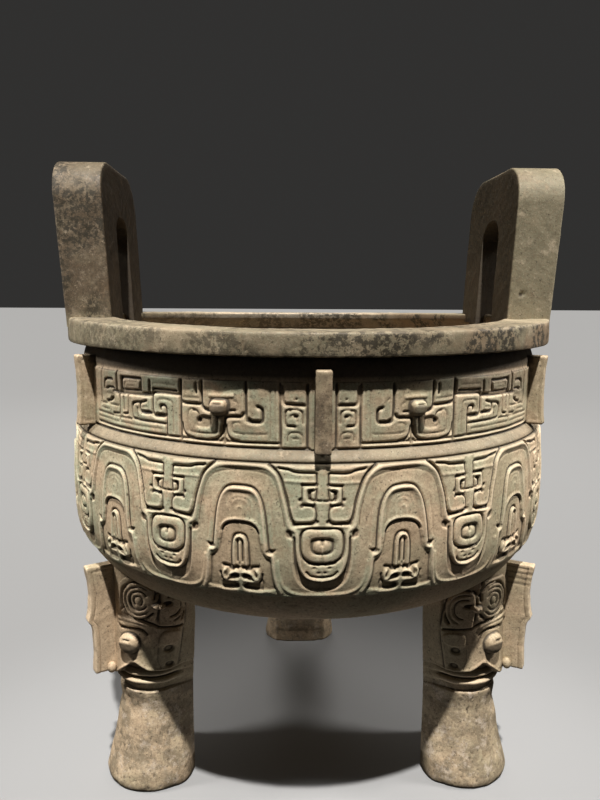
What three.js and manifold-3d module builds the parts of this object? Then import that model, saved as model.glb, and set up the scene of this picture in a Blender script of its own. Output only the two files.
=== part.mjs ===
// A cast bronze ding: a round bowl with two upright ears, on three hoofed legs, made as one casting.
// Millimetres, +Z up. The origin is on the ground, under the middle of the bowl.
// An angle round the bowl is counted in degrees from the front, which faces -Y, towards +X.
import * as THREE from "three";
import { mergeVertices } from "three/addons/utils/BufferGeometryUtils.js";
import Module from "manifold-3d";

// Rim
const RIM_OUTER_R = 378;
const RIM_INNER_R = 311;
const RIM_BOTTOM_Z = 669;
const RIM_TOP_Z = 698;
const RIM_LIP_THICK = 12;
const RIM_RISE_AT_EARS = 7;

// Bowl wall
const BELLY_R = 374.2;
const BELLY_WIDEST_Z = 456;
const BELLY_TOP_Z = 545;
const BELLY_UPPER_CURVE_R = 600;
const BELLY_LOWER_DEPTH = 163;
const BELLY_POWER_Z = 2.93;
const BELLY_POWER_R = 4.38;
const DOME_EDGE_R = 296;
const DOME_BOTTOM_Z = 262;
const NECK_R = 356.5;
const NECK_BOTTOM_Z = 561;
const NECK_TOP_Z = 655;
const WALL = 10;
const AROUND_STEPS = 36;

// Flanges on the neck
const FLANGE_R = 381.5;
const FLANGE_THICK = 19;
const FLANGE_HOLLOW = 3;
const FLANGE_ANGLES = [0, 60, 120, 180, 240, 300];

// Wave band on the belly: a ribbon that rises to a crest between two eyes
const WAVES = 12;
const RELIEF = 4.6;
const RIBBON_WIDTH = 29;
const EYE_Z = 448;

// Middle line of the ribbon from a trough to the next crest: degrees from the trough, height
const RIBBON_MIDDLE = [
  [0, 387],
  [6.2, 395],
  [8.1, 450],
  [10.2, 508],
  [15, 528],
];

// The eye in each trough, and the arch under each crest: degrees from the crest, height
const EYE_HALF_WIDTH = 19;
const EYE_HALF_HEIGHT = 20;
const ARCH_WIDTH = 9;
const ARCH_LINE = [
  [-2.6, 405],
  [-2.3, 452],
  [2.3, 452],
  [2.6, 405],
];

// Masks on the neck: an eye and three raised lines on each side, in degrees from the mask's nose
const MASK_NOSES = [0, 120, 240];
const MASK_EYE_ANGLE = 18.3;
const MASK_EYE_Z = 606;
const MASK_EYE_R = 9.5;
const MASK_EYE_LIFT = 9;
const MASK_RELIEF = 3.5;
const MASK_LINE_WIDTH = 9;
const MASK_LOW_Z = 580;
const MASK_HIGH_Z = 641;
const MASK_LINES = [
  [[9, MASK_HIGH_Z], [26, MASK_HIGH_Z], [26, MASK_LOW_Z]],
  [[11, MASK_LOW_Z], [22, MASK_LOW_Z]],
  [[31, MASK_LOW_Z], [44, MASK_LOW_Z], [44, MASK_HIGH_Z], [31, MASK_HIGH_Z]],
];

// Ears
const EAR_HALF_WIDTH = 121.5;
const EAR_TOP_Z = 931;
const EAR_CORNER_R = 58;
const EAR_THICK_BASE = 66;
const EAR_THICK_TOP = 70;
const EAR_INNER_X_BASE = 293;
const EAR_INNER_X_TOP = 304;
const EAR_SLOT_HALF_WIDTH = 41;
const EAR_SLOT_TOP_Z = 858;
const EAR_SLOT_CORNER_R = 34;
const EAR_BORDER = 16;
const EAR_BORDER_LIFT = 3;
const EAR_HOLLOW = 6;

// Legs. One leg stands a little off its third of the circle, and its mask sits lower.
const LEGS = [
  { angle: 58, flangeAngle: 60.5, drop: 5 },
  { angle: 180, flangeAngle: 180, drop: 0 },
  { angle: 300, flangeAngle: 300, drop: 0 },
];
const LEG_FLAT_R = 234;
const LEG_HOOF_Z = 46;
const LEG_TOP_Z = 352;
const LEG_ARC_STEPS = 10;
const LEG_FLANGE_THICK = 13;

// Rows of a leg, from the ground up: height, radius of its outer face from the bowl's axis,
// half width, and half width of the flat face towards the axis
const LEG_ROWS = [
  [0, 353, 69.5, 44],
  [10, 356, 72, 45],
  [LEG_HOOF_Z, 346, 64, 46],
  [112, 334, 54.5, 47],
  [122, 328, 49, 47],
  [134, 327, 48, 47],
  [148, 332, 52.5, 48],
  [163, 339, 59, 50],
  [173, 334, 55, 50],
  [188, 342, 63, 52],
  [260, 342, 74, 58],
  [LEG_TOP_Z, 342, 75, 59],
];

// The mask on a leg: eye and nostril bosses, brow and horn, in degrees about the leg from its flange
const LEG_EYE = { at: 34, z: 231, halfWidth: 14, halfHeight: 17, lift: 11 };
const LEG_NOSTRIL = { at: 13, z: 190, halfWidth: 5, halfHeight: 6.5, lift: 8 };
const LEG_RELIEF = 4.5;
const LEG_LINE_WIDTH = 12;
const LEG_LINES = [
  [[12, 262], [34, 259], [70, 244]],
  [[14, 274], [54, 274], [70, 300], [54, 324], [30, 312], [38, 296]],
];

// Outline of a leg's flange: radius from the bowl's axis, height
const LEG_FLANGE_OUTLINE = [
  [335, 346],
  [381.5, 347],
  [378, 325],
  [376, 302],
  [378, 280],
  [381, 267],
  [374, 255],
  [372, 215],
  [374, 175],
  [336, 175],
];

const rad = THREE.MathUtils.degToRad;
const wasm = await Module();
wasm.setup();

// Turns a closed three.js geometry into a solid.
function solidOf(geometry) {
  const bare = geometry.index ? geometry.toNonIndexed() : geometry.clone();
  bare.deleteAttribute("normal");
  bare.deleteAttribute("uv");
  const merged = mergeVertices(bare, 1e-3);
  return new wasm.Manifold(
    new wasm.Mesh({
      numProp: 3,
      vertProperties: new Float32Array(merged.attributes.position.array),
      triVerts: new Uint32Array(merged.index.array),
    }),
  );
}

// Turns a solid back into a three.js geometry with flat faces.
function geometryOf(solid) {
  const mesh = solid.getMesh();
  const count = mesh.numProp;
  const positions = new Float32Array(mesh.numVert * 3);
  for (let i = 0; i < mesh.numVert; i++) {
    positions.set(mesh.vertProperties.subarray(i * count, i * count + 3), i * 3);
  }
  const indexed = new THREE.BufferGeometry();
  indexed.setAttribute("position", new THREE.BufferAttribute(positions, 3));
  indexed.setIndex(new THREE.BufferAttribute(new Uint32Array(mesh.triVerts), 1));
  const flat = indexed.toNonIndexed();
  flat.computeVertexNormals();
  return flat;
}

// Closed geometry from rings of points: each ring joins the next, and the two ends are capped.
// With closed = true the last ring joins the first instead.
function loft(rings, closed = false) {
  const size = rings[0].length;
  const corners = [];
  const quad = (a, b, c, d) => corners.push(a, b, c, a, c, d);
  const last = closed ? rings.length : rings.length - 1;
  for (let i = 0; i < last; i++) {
    const low = rings[i];
    const high = rings[(i + 1) % rings.length];
    for (let k = 0; k < size; k++) {
      const next = (k + 1) % size;
      quad(low[k], low[next], high[next], high[k]);
    }
  }
  if (!closed) {
    const top = rings[rings.length - 1];
    const bottom = rings[0];
    for (let k = 1; k < size - 1; k++) {
      corners.push(bottom[0], bottom[k + 1], bottom[k]);
      corners.push(top[0], top[k], top[k + 1]);
    }
  }
  const geometry = new THREE.BufferGeometry().setFromPoints(corners);
  const solid = solidOf(geometry);
  if (solid.volume() >= 0) return solid;
  const reversed = [];
  for (let i = 0; i < corners.length; i += 3) {
    reversed.push(corners[i], corners[i + 2], corners[i + 1]);
  }
  return solidOf(new THREE.BufferGeometry().setFromPoints(reversed));
}

// A point at a radius, angle and height.
function polar(radius, degrees, z) {
  return new THREE.Vector3(radius * Math.sin(rad(degrees)), -radius * Math.cos(rad(degrees)), z);
}

// Outer radius of the bowl wall at a height, without its relief.
function bowlRadius(z) {
  if (z >= NECK_BOTTOM_Z) return NECK_R;
  if (z >= BELLY_TOP_Z) {
    const edge = bowlRadius(BELLY_TOP_Z - 0.01);
    return THREE.MathUtils.mapLinear(z, BELLY_TOP_Z, NECK_BOTTOM_Z, edge, NECK_R);
  }
  const rise = z - BELLY_WIDEST_Z;
  if (rise >= 0) return BELLY_R - (rise * rise) / (2 * BELLY_UPPER_CURVE_R);
  const drop = Math.min(1, -rise / BELLY_LOWER_DEPTH);
  return BELLY_R * (1 - drop ** BELLY_POWER_Z) ** (1 / BELLY_POWER_R);
}

// Height of the lower belly at a radius, the inverse of the formula above.
function bellyHeight(radius) {
  const share = 1 - (radius / BELLY_R) ** BELLY_POWER_R;
  return BELLY_WIDEST_Z - BELLY_LOWER_DEPTH * share ** (1 / BELLY_POWER_Z);
}

// A point on the bowl's outer face, lifted along its normal.
function onBowl(degrees, z, lift) {
  const step = 1;
  const slope = (bowlRadius(z + step) - bowlRadius(z - step)) / (2 * step);
  const length = Math.hypot(1, slope);
  return polar(bowlRadius(z) + lift / length, degrees, z - (lift * slope) / length);
}

// Height of the shallow dome under the bowl at a radius.
function domeHeight(radius) {
  const sag = bellyHeight(DOME_EDGE_R) - DOME_BOTTOM_Z;
  const sphereR = (DOME_EDGE_R ** 2 + sag ** 2) / (2 * sag);
  return DOME_BOTTOM_Z + sphereR - Math.sqrt(sphereR ** 2 - radius ** 2);
}

// Outside of the bowl as radius and height, from the middle of its underside up to the rim's inner edge.
function outerProfile() {
  return [
    ...[0, 160, DOME_EDGE_R].map((r) => [r, domeHeight(r)]),
    ...[326, 348, 362, 371].map((r) => [r, bellyHeight(r)]),
    ...[BELLY_WIDEST_Z, BELLY_TOP_Z].map((z) => [bowlRadius(z), z]),
    [bowlRadius(BELLY_TOP_Z) - 2, BELLY_TOP_Z + 8],
    [NECK_R, NECK_BOTTOM_Z],
    [NECK_R, 640],
    [NECK_R - 6, RIM_BOTTOM_Z - 3],
    [RIM_OUTER_R, RIM_BOTTOM_Z],
    [RIM_OUTER_R, RIM_TOP_Z - 3],
    [RIM_OUTER_R - 3, RIM_TOP_Z],
    [RIM_INNER_R, RIM_TOP_Z],
  ];
}

// Inside of the bowl from the lip's lower edge down to the middle of its floor.
function innerProfile() {
  return [
    [RIM_INNER_R, RIM_TOP_Z - RIM_LIP_THICK],
    [NECK_R - WALL, 625],
    [NECK_R - WALL, NECK_BOTTOM_Z],
    [bowlRadius(BELLY_TOP_Z) - WALL, BELLY_TOP_Z - WALL],
    [BELLY_R - WALL, BELLY_WIDEST_Z],
    ...[366, 344].map((r) => [r - WALL * 0.8, bellyHeight(r) + WALL * 0.7]),
    ...[DOME_EDGE_R, 160, 0].map((r) => [r * 0.98, domeHeight(r) + WALL]),
  ];
}

// A solid of revolution about the bowl's axis from radius and height pairs.
function turned(profile) {
  const geometry = new THREE.LatheGeometry(
    profile.map(([r, z]) => new THREE.Vector2(r, z)),
    AROUND_STEPS,
  );
  return geometry.rotateX(Math.PI / 2);
}

// The bowl and its rim. The rim's top climbs a little towards the two ears.
function bowl() {
  const geometry = turned([...outerProfile(), ...innerProfile()]);
  const position = geometry.attributes.position;
  for (let i = 0; i < position.count; i++) {
    const onRimTop = position.getZ(i) > RIM_TOP_Z - 5;
    const side = position.getX(i) / Math.hypot(position.getX(i), position.getY(i), 1e-6);
    if (onRimTop) position.setZ(i, position.getZ(i) + RIM_RISE_AT_EARS * side * side);
  }
  return solidOf(geometry);
}

// Everything inside the wall, which the legs mustn't fill.
function hollow() {
  const mouthZ = RIM_TOP_Z + 40;
  const floorFirst = innerProfile().reverse();
  return solidOf(turned([...floorFirst, [RIM_INNER_R, mouthZ], [0, mouthZ]]));
}

// A raised strip that follows a path on a surface. place(u, v, lift) gives the surface's points.
// Each path entry is a left and a right edge, [u, v] each.
function strip(edges, lift, place, closed = false, buried = 5) {
  const rings = edges.map(([left, right]) => [
    place(left[0], left[1], -buried),
    place(right[0], right[1], -buried),
    place(right[0], right[1], lift),
    place(left[0], left[1], lift),
  ]);
  return loft(rings, closed);
}

// Edges of a strip of even width along straight runs, mitred at the corners.
// scale is the length on the surface of one unit of u.
function squareEdges(points, width, scale) {
  const at = points.map(([u, v]) => new THREE.Vector2(u * scale, v));
  return at.map((p, i) => {
    const before = i > 0 ? p.clone().sub(at[i - 1]).normalize() : null;
    const after = i < at.length - 1 ? at[i + 1].clone().sub(p).normalize() : null;
    const along = (before ?? after).clone().add(after ?? before).normalize();
    const half = width / 2 / along.dot(after ?? before);
    const across = new THREE.Vector2(-along.y, along.x).multiplyScalar(half);
    return [
      [(p.x + across.x) / scale, p.y + across.y],
      [(p.x - across.x) / scale, p.y - across.y],
    ];
  });
}

// A low boss on a surface, an ellipse that narrows towards its top.
function boss(u, v, halfU, halfV, lift, place, sides = 8) {
  const ring = (share, height) => {
    const points = [];
    for (let k = 0; k < sides; k++) {
      const turn = (2 * Math.PI * k) / sides;
      const du = share * halfU * Math.cos(turn);
      const dv = share * halfV * Math.sin(turn);
      points.push(place(u + du, v + dv, height));
    }
    return points;
  };
  return loft([ring(1.15, -5), ring(0.7, lift)]);
}

// The wave band's ribbon, its eyes and the arches under its crests.
function waveBand() {
  const period = 360 / WAVES;
  const degreeLength = (BELLY_R * Math.PI) / 180;
  const middle = [];
  for (let k = 0; k < WAVES; k++) {
    const trough = k * period;
    const next = trough + period;
    RIBBON_MIDDLE.forEach(([u, v]) => middle.push([trough + u, v]));
    RIBBON_MIDDLE.slice(1, -1).reverse().forEach(([u, v]) => middle.push([next - u, v]));
  }
  const around = [middle[middle.length - 1], ...middle, middle[0]];
  around[0] = [around[0][0] - 360, around[0][1]];
  around[around.length - 1] = [around[around.length - 1][0] + 360, around[around.length - 1][1]];
  const edges = squareEdges(around, RIBBON_WIDTH, degreeLength).slice(1, -1);
  const solids = [strip(edges, RELIEF, onBowl, true)];
  for (let k = 0; k < WAVES; k++) {
    const crest = (k + 0.5) * period;
    const arch = ARCH_LINE.map(([u, v]) => [crest + u, v]);
    solids.push(boss(k * period, EYE_Z, EYE_HALF_WIDTH / degreeLength, EYE_HALF_HEIGHT, RELIEF, onBowl));
    solids.push(strip(squareEdges(arch, ARCH_WIDTH, degreeLength), RELIEF, onBowl));
  }
  return solids;
}

// Raised lines of the masks on the neck, mirrored about each flange: eyes, canthi and squared spirals.
function neckMasks() {
  const degreeLength = (NECK_R * Math.PI) / 180;
  const solids = [];
  const onNeck = (u, v, lift) => polar(NECK_R + lift, u, v);
  for (const nose of MASK_NOSES) {
    for (const side of [-1, 1]) {
      const at = (u) => nose + side * u;
      const halfWidth = MASK_EYE_R / degreeLength;
      solids.push(boss(at(MASK_EYE_ANGLE), MASK_EYE_Z, halfWidth, MASK_EYE_R, MASK_EYE_LIFT, onNeck));
      for (const line of MASK_LINES) {
        const mirrored = line.map(([u, v]) => [at(u), v]);
        solids.push(strip(squareEdges(mirrored, MASK_LINE_WIDTH, degreeLength), MASK_RELIEF, onNeck));
      }
    }
  }
  return solids;
}

// A vertical flange on the neck, with a slightly hollow outer edge.
function neckFlange(degrees) {
  const shape = new THREE.Shape();
  const middle = (NECK_BOTTOM_Z + NECK_TOP_Z) / 2;
  shape.moveTo(NECK_R - 6, NECK_BOTTOM_Z - 3);
  shape.lineTo(FLANGE_R, NECK_BOTTOM_Z - 3);
  shape.quadraticCurveTo(FLANGE_R - 2 * FLANGE_HOLLOW, middle, FLANGE_R, NECK_TOP_Z);
  shape.lineTo(NECK_R - 6, NECK_TOP_Z);
  return slab(shape, FLANGE_THICK, degrees, 4);
}

// A plate drawn in a vertical plane through the bowl's axis, as radius and height, and turned to an angle.
function slab(shape, thick, degrees, curveSegments) {
  const geometry = new THREE.ExtrudeGeometry(shape, { depth: thick, bevelEnabled: false, curveSegments });
  geometry.translate(0, 0, -thick / 2);
  geometry.rotateX(Math.PI / 2);
  geometry.rotateZ(rad(degrees - 90));
  return solidOf(geometry);
}

// An arch with straight sides and rounded shoulders, standing on a level line.
function archShape(half, low, top, corner) {
  const shape = new THREE.Shape();
  shape.moveTo(-half, low);
  shape.lineTo(half, low);
  shape.lineTo(half, top - corner);
  shape.absarc(half - corner, top - corner, corner, 0, Math.PI / 2, false);
  shape.absarc(corner - half, top - corner, corner, Math.PI / 2, Math.PI, false);
  return shape;
}

// Turns an arch drawn across an ear into a solid that follows the ear's lean and hollow.
// near and far are its two faces, as a depth from the ear's inner face at a given thickness.
function earSolid(side, shape, near, far) {
  const settings = { depth: 1, bevelEnabled: false, curveSegments: 4 };
  const geometry = new THREE.ExtrudeGeometry(shape, settings);
  const position = geometry.attributes.position;
  for (let i = 0; i < position.count; i++) {
    const y = position.getX(i);
    const z = position.getY(i);
    const share = (z - RIM_TOP_Z) / (EAR_TOP_Z - RIM_TOP_Z);
    const inner = THREE.MathUtils.lerp(EAR_INNER_X_BASE, EAR_INNER_X_TOP, share);
    const thick = THREE.MathUtils.lerp(EAR_THICK_BASE, EAR_THICK_TOP, share);
    const bulge = EAR_HOLLOW * (1 - (y / EAR_HALF_WIDTH) ** 2);
    const depth = THREE.MathUtils.lerp(near(thick), far(thick), position.getZ(i));
    position.setXYZ(i, side * (inner + bulge + depth), side * y, z);
  }
  return solidOf(geometry);
}

// An ear: a thick upright plate with rounded shoulders, a round-topped slot and a raised border outside.
function ear(side) {
  const foot = RIM_TOP_Z - 8;
  const whole = archShape(EAR_HALF_WIDTH, foot, EAR_TOP_Z, EAR_CORNER_R);
  const slot = archShape(EAR_SLOT_HALF_WIDTH, RIM_TOP_Z + 10, EAR_SLOT_TOP_Z, EAR_SLOT_CORNER_R);
  const sunk = archShape(
    EAR_HALF_WIDTH - EAR_BORDER,
    RIM_TOP_Z + EAR_BORDER + 8,
    EAR_TOP_Z - EAR_BORDER,
    EAR_CORNER_R - EAR_BORDER / 2,
  );
  const kept = archShape(
    EAR_SLOT_HALF_WIDTH + EAR_BORDER / 2,
    foot,
    EAR_SLOT_TOP_Z + EAR_BORDER / 2,
    EAR_SLOT_CORNER_R + EAR_BORDER / 4,
  );
  const inside = () => 0;
  const proud = (thick) => thick + 10;
  const floor = (thick) => thick - EAR_BORDER_LIFT;
  const plate = earSolid(side, whole, inside, (thick) => thick);
  const opening = earSolid(side, slot, () => -10, proud);
  const panel = earSolid(side, sunk, floor, proud).subtract(earSolid(side, kept, inside, (thick) => thick + 20));
  return plate.subtract(opening).subtract(panel);
}

// Height of a leg's row or mark once a low-set mask has drawn it down.
function lowered(z, drop) {
  return z > LEG_HOOF_Z && z < LEG_TOP_Z ? z - drop : z;
}

// Reads outer radius, half width and flat half width of a leg at a height.
function legSize(z) {
  const above = LEG_ROWS.findIndex((row) => row[0] >= z);
  const high = LEG_ROWS[above < 0 ? LEG_ROWS.length - 1 : above];
  const low = LEG_ROWS[Math.max(0, above < 0 ? LEG_ROWS.length - 2 : above - 1)];
  const share = high === low ? 0 : THREE.MathUtils.clamp((z - low[0]) / (high[0] - low[0]), 0, 1);
  return [1, 2, 3].map((column) => THREE.MathUtils.lerp(low[column], high[column], share));
}

// A point on a leg's rounded face. around is degrees about the leg's own middle, 0 facing outward.
function onLeg({ angle, drop }) {
  return (around, z, lift) => {
    const [outer, half] = legSize(z);
    const radial = outer - half + (half + lift) * Math.cos(rad(around));
    const sideways = (half + lift) * Math.sin(rad(around));
    return polar(radial, angle, lowered(z, drop)).add(polar(sideways, angle + 90, 0));
  };
}

// One leg: round outward with straight sides back to a flat face, a flared hoof and a ring at the ankle.
function leg(settings) {
  const { angle, drop } = settings;
  const place = onLeg(settings);
  const rings = LEG_ROWS.map(([z, , , flatHalf]) => {
    const ring = [];
    for (let k = 0; k <= LEG_ARC_STEPS; k++) {
      ring.push(place(-90 + (180 * k) / LEG_ARC_STEPS, z, 0));
    }
    for (const side of [1, -1]) {
      const corner = polar(LEG_FLAT_R, angle, lowered(z, drop));
      ring.push(corner.add(polar(side * flatHalf, angle + 90, 0)));
    }
    return ring;
  });
  return loft(rings);
}

// A leg's mask: flange, eyes, nostrils, brows and horns.
function legMask(settings) {
  const outline = LEG_FLANGE_OUTLINE.map(([r, z]) => new THREE.Vector2(r, lowered(z, settings.drop)));
  const solids = [slab(new THREE.Shape(outline), LEG_FLANGE_THICK, settings.flangeAngle, 1)];
  const place = onLeg(settings);
  const degreeLength = (LEG_ROWS[LEG_ROWS.length - 1][2] * Math.PI) / 180;
  for (const side of [-1, 1]) {
    for (const { at, z, halfWidth, halfHeight, lift } of [LEG_EYE, LEG_NOSTRIL]) {
      solids.push(boss(side * at, z, halfWidth, halfHeight, lift, place));
    }
    for (const line of LEG_LINES) {
      const mirrored = line.map(([u, v]) => [side * u, v]);
      solids.push(strip(squareEdges(mirrored, LEG_LINE_WIDTH, degreeLength), LEG_RELIEF, place));
    }
  }
  return solids;
}

function vessel() {
  const outside = [
    bowl(),
    ...waveBand(),
    ...neckMasks(),
    ...FLANGE_ANGLES.map(neckFlange),
    ...LEGS.map(leg),
    ...LEGS.flatMap(legMask),
  ];
  const body = outside.reduce((whole, solid) => whole.add(solid)).subtract(hollow());
  const whole = body.add(ear(1)).add(ear(-1));
  const bronze = new THREE.MeshStandardMaterial({ color: 0x8f8468, roughness: 0.75, metalness: 0.35 });
  const mesh = new THREE.Mesh(geometryOf(whole), bronze);
  mesh.name = "ding_vessel";
  return mesh;
}

const part = new THREE.Group();
part.add(vessel());

export default part;
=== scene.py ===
"""Bronze ding vessel: fine relief, patina, camera and studio light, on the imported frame."""

import math

import bpy
import numpy as np
from mathutils import Matrix, Vector


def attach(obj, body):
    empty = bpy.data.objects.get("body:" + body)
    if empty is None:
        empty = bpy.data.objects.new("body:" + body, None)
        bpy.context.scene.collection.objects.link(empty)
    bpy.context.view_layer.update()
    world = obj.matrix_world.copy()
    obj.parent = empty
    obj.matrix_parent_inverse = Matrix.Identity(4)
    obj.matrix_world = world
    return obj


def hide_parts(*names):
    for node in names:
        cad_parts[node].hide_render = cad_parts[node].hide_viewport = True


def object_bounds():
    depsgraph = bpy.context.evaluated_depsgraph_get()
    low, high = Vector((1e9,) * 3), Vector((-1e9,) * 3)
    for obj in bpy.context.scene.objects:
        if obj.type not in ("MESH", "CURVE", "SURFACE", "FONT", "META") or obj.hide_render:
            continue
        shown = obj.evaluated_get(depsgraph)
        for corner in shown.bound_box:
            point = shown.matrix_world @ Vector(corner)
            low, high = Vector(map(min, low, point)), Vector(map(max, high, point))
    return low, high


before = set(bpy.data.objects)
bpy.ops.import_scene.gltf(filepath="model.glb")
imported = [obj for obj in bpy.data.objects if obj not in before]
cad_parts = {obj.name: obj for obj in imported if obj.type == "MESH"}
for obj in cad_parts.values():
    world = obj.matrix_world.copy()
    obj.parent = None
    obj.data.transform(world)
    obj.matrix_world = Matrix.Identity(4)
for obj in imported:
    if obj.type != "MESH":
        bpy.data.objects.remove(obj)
CAD_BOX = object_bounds()

# All shapes are made in millimetres and written to the meshes in metres.
MM = 0.001
NODE = "ding_vessel"

# Bowl, the same sizes as the CAD
RIM_OUTER_R = 378.0
RIM_INNER_R = 311.0
RIM_BOTTOM_Z = 669.0
RIM_TOP_Z = 698.0
RIM_LIP_THICK = 12.0
RIM_RISE_AT_EARS = 7.0
BELLY_R = 374.2
BELLY_WIDEST_Z = 456.0
BELLY_UPPER_CURVE_R = 600.0
BELLY_LOWER_DEPTH = 163.0
BELLY_POWER_Z = 2.93
BELLY_POWER_R = 4.38
DOME_EDGE_R = 296.0
DOME_BOTTOM_Z = 262.0
NECK_R = 356.5
WALL = 10.0

# Bands of relief
BAND_LOW_Z = 380.0
BAND_HIGH_Z = 545.0
WAVE_PERIOD = 30.0
WAVE_HALF = 98.0
MASK_SPAN = 60.0
MASK_HALF = 373.3
NECK_LOW_Z = 559.0
NECK_HIGH_Z = 640.0
BURIED = 3.0

# Neck flanges
FLANGE_R = 381.5
FLANGE_THICK = 19.0
FLANGE_LOW_Z = 558.0
FLANGE_HIGH_Z = 655.0
FLANGE_ANGLES = (0, 60, 120, 180, 240, 300)

# Ears
EAR_HALF_WIDTH = 121.5
EAR_TOP_Z = 931.0
EAR_CORNER_R = 58.0
EAR_FOOT_Z = 690.0
EAR_THICK = (66.0, 70.0)
EAR_INNER_X = (293.0, 304.0)
EAR_HOLLOW = 1.0
EAR_BACK_STRETCH = 1.045
SLOT_HALF_WIDTH = 41.0
SLOT_TOP_Z = 858.0
SLOT_CORNER_R = 34.0
EAR_PIT = (19.0, 741.0)
EAR_SEAM_Z = 907.0

# Light
KEY_ELEVATION = 67.2
KEY_TURN = 0.0
KEY_SOFT = 1.6
KEY_STRENGTH = 7.5
SPOT_WIDTH = 37.0


def waves(count, longest, shortest, seed):
    """A smooth random function of two lengths in mm, between about -1 and 1."""
    dice = np.random.default_rng(seed)
    turn = dice.uniform(0, 2 * math.pi, count)
    length = np.exp(dice.uniform(math.log(shortest), math.log(longest), count))
    phase = dice.uniform(0, 2 * math.pi, count)

    def value(u, v):
        total = np.zeros(np.broadcast(u, v).shape)
        for k in range(count):
            along = u * math.cos(turn[k]) + v * math.sin(turn[k])
            total += np.sin(2 * math.pi * along / length[k] + phase[k])
        return total / math.sqrt(count)

    return value


def smoothstep(x):
    x = np.clip(x, 0, 1)
    return x * x * (3 - 2 * x)


def rounded(points, times=2):
    """Cuts the corners of a line, so that it runs smoothly between the same two ends."""
    line = np.array(points, float)
    if len(line) < 3:
        return line
    for _ in range(times):
        near = 0.75 * line[:-1] + 0.25 * line[1:]
        far = 0.25 * line[:-1] + 0.75 * line[1:]
        middle = np.stack([near, far], 1).reshape(-1, 2)
        line = np.vstack([line[:1], middle[1:-1], line[-1:]])
    return line


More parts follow.
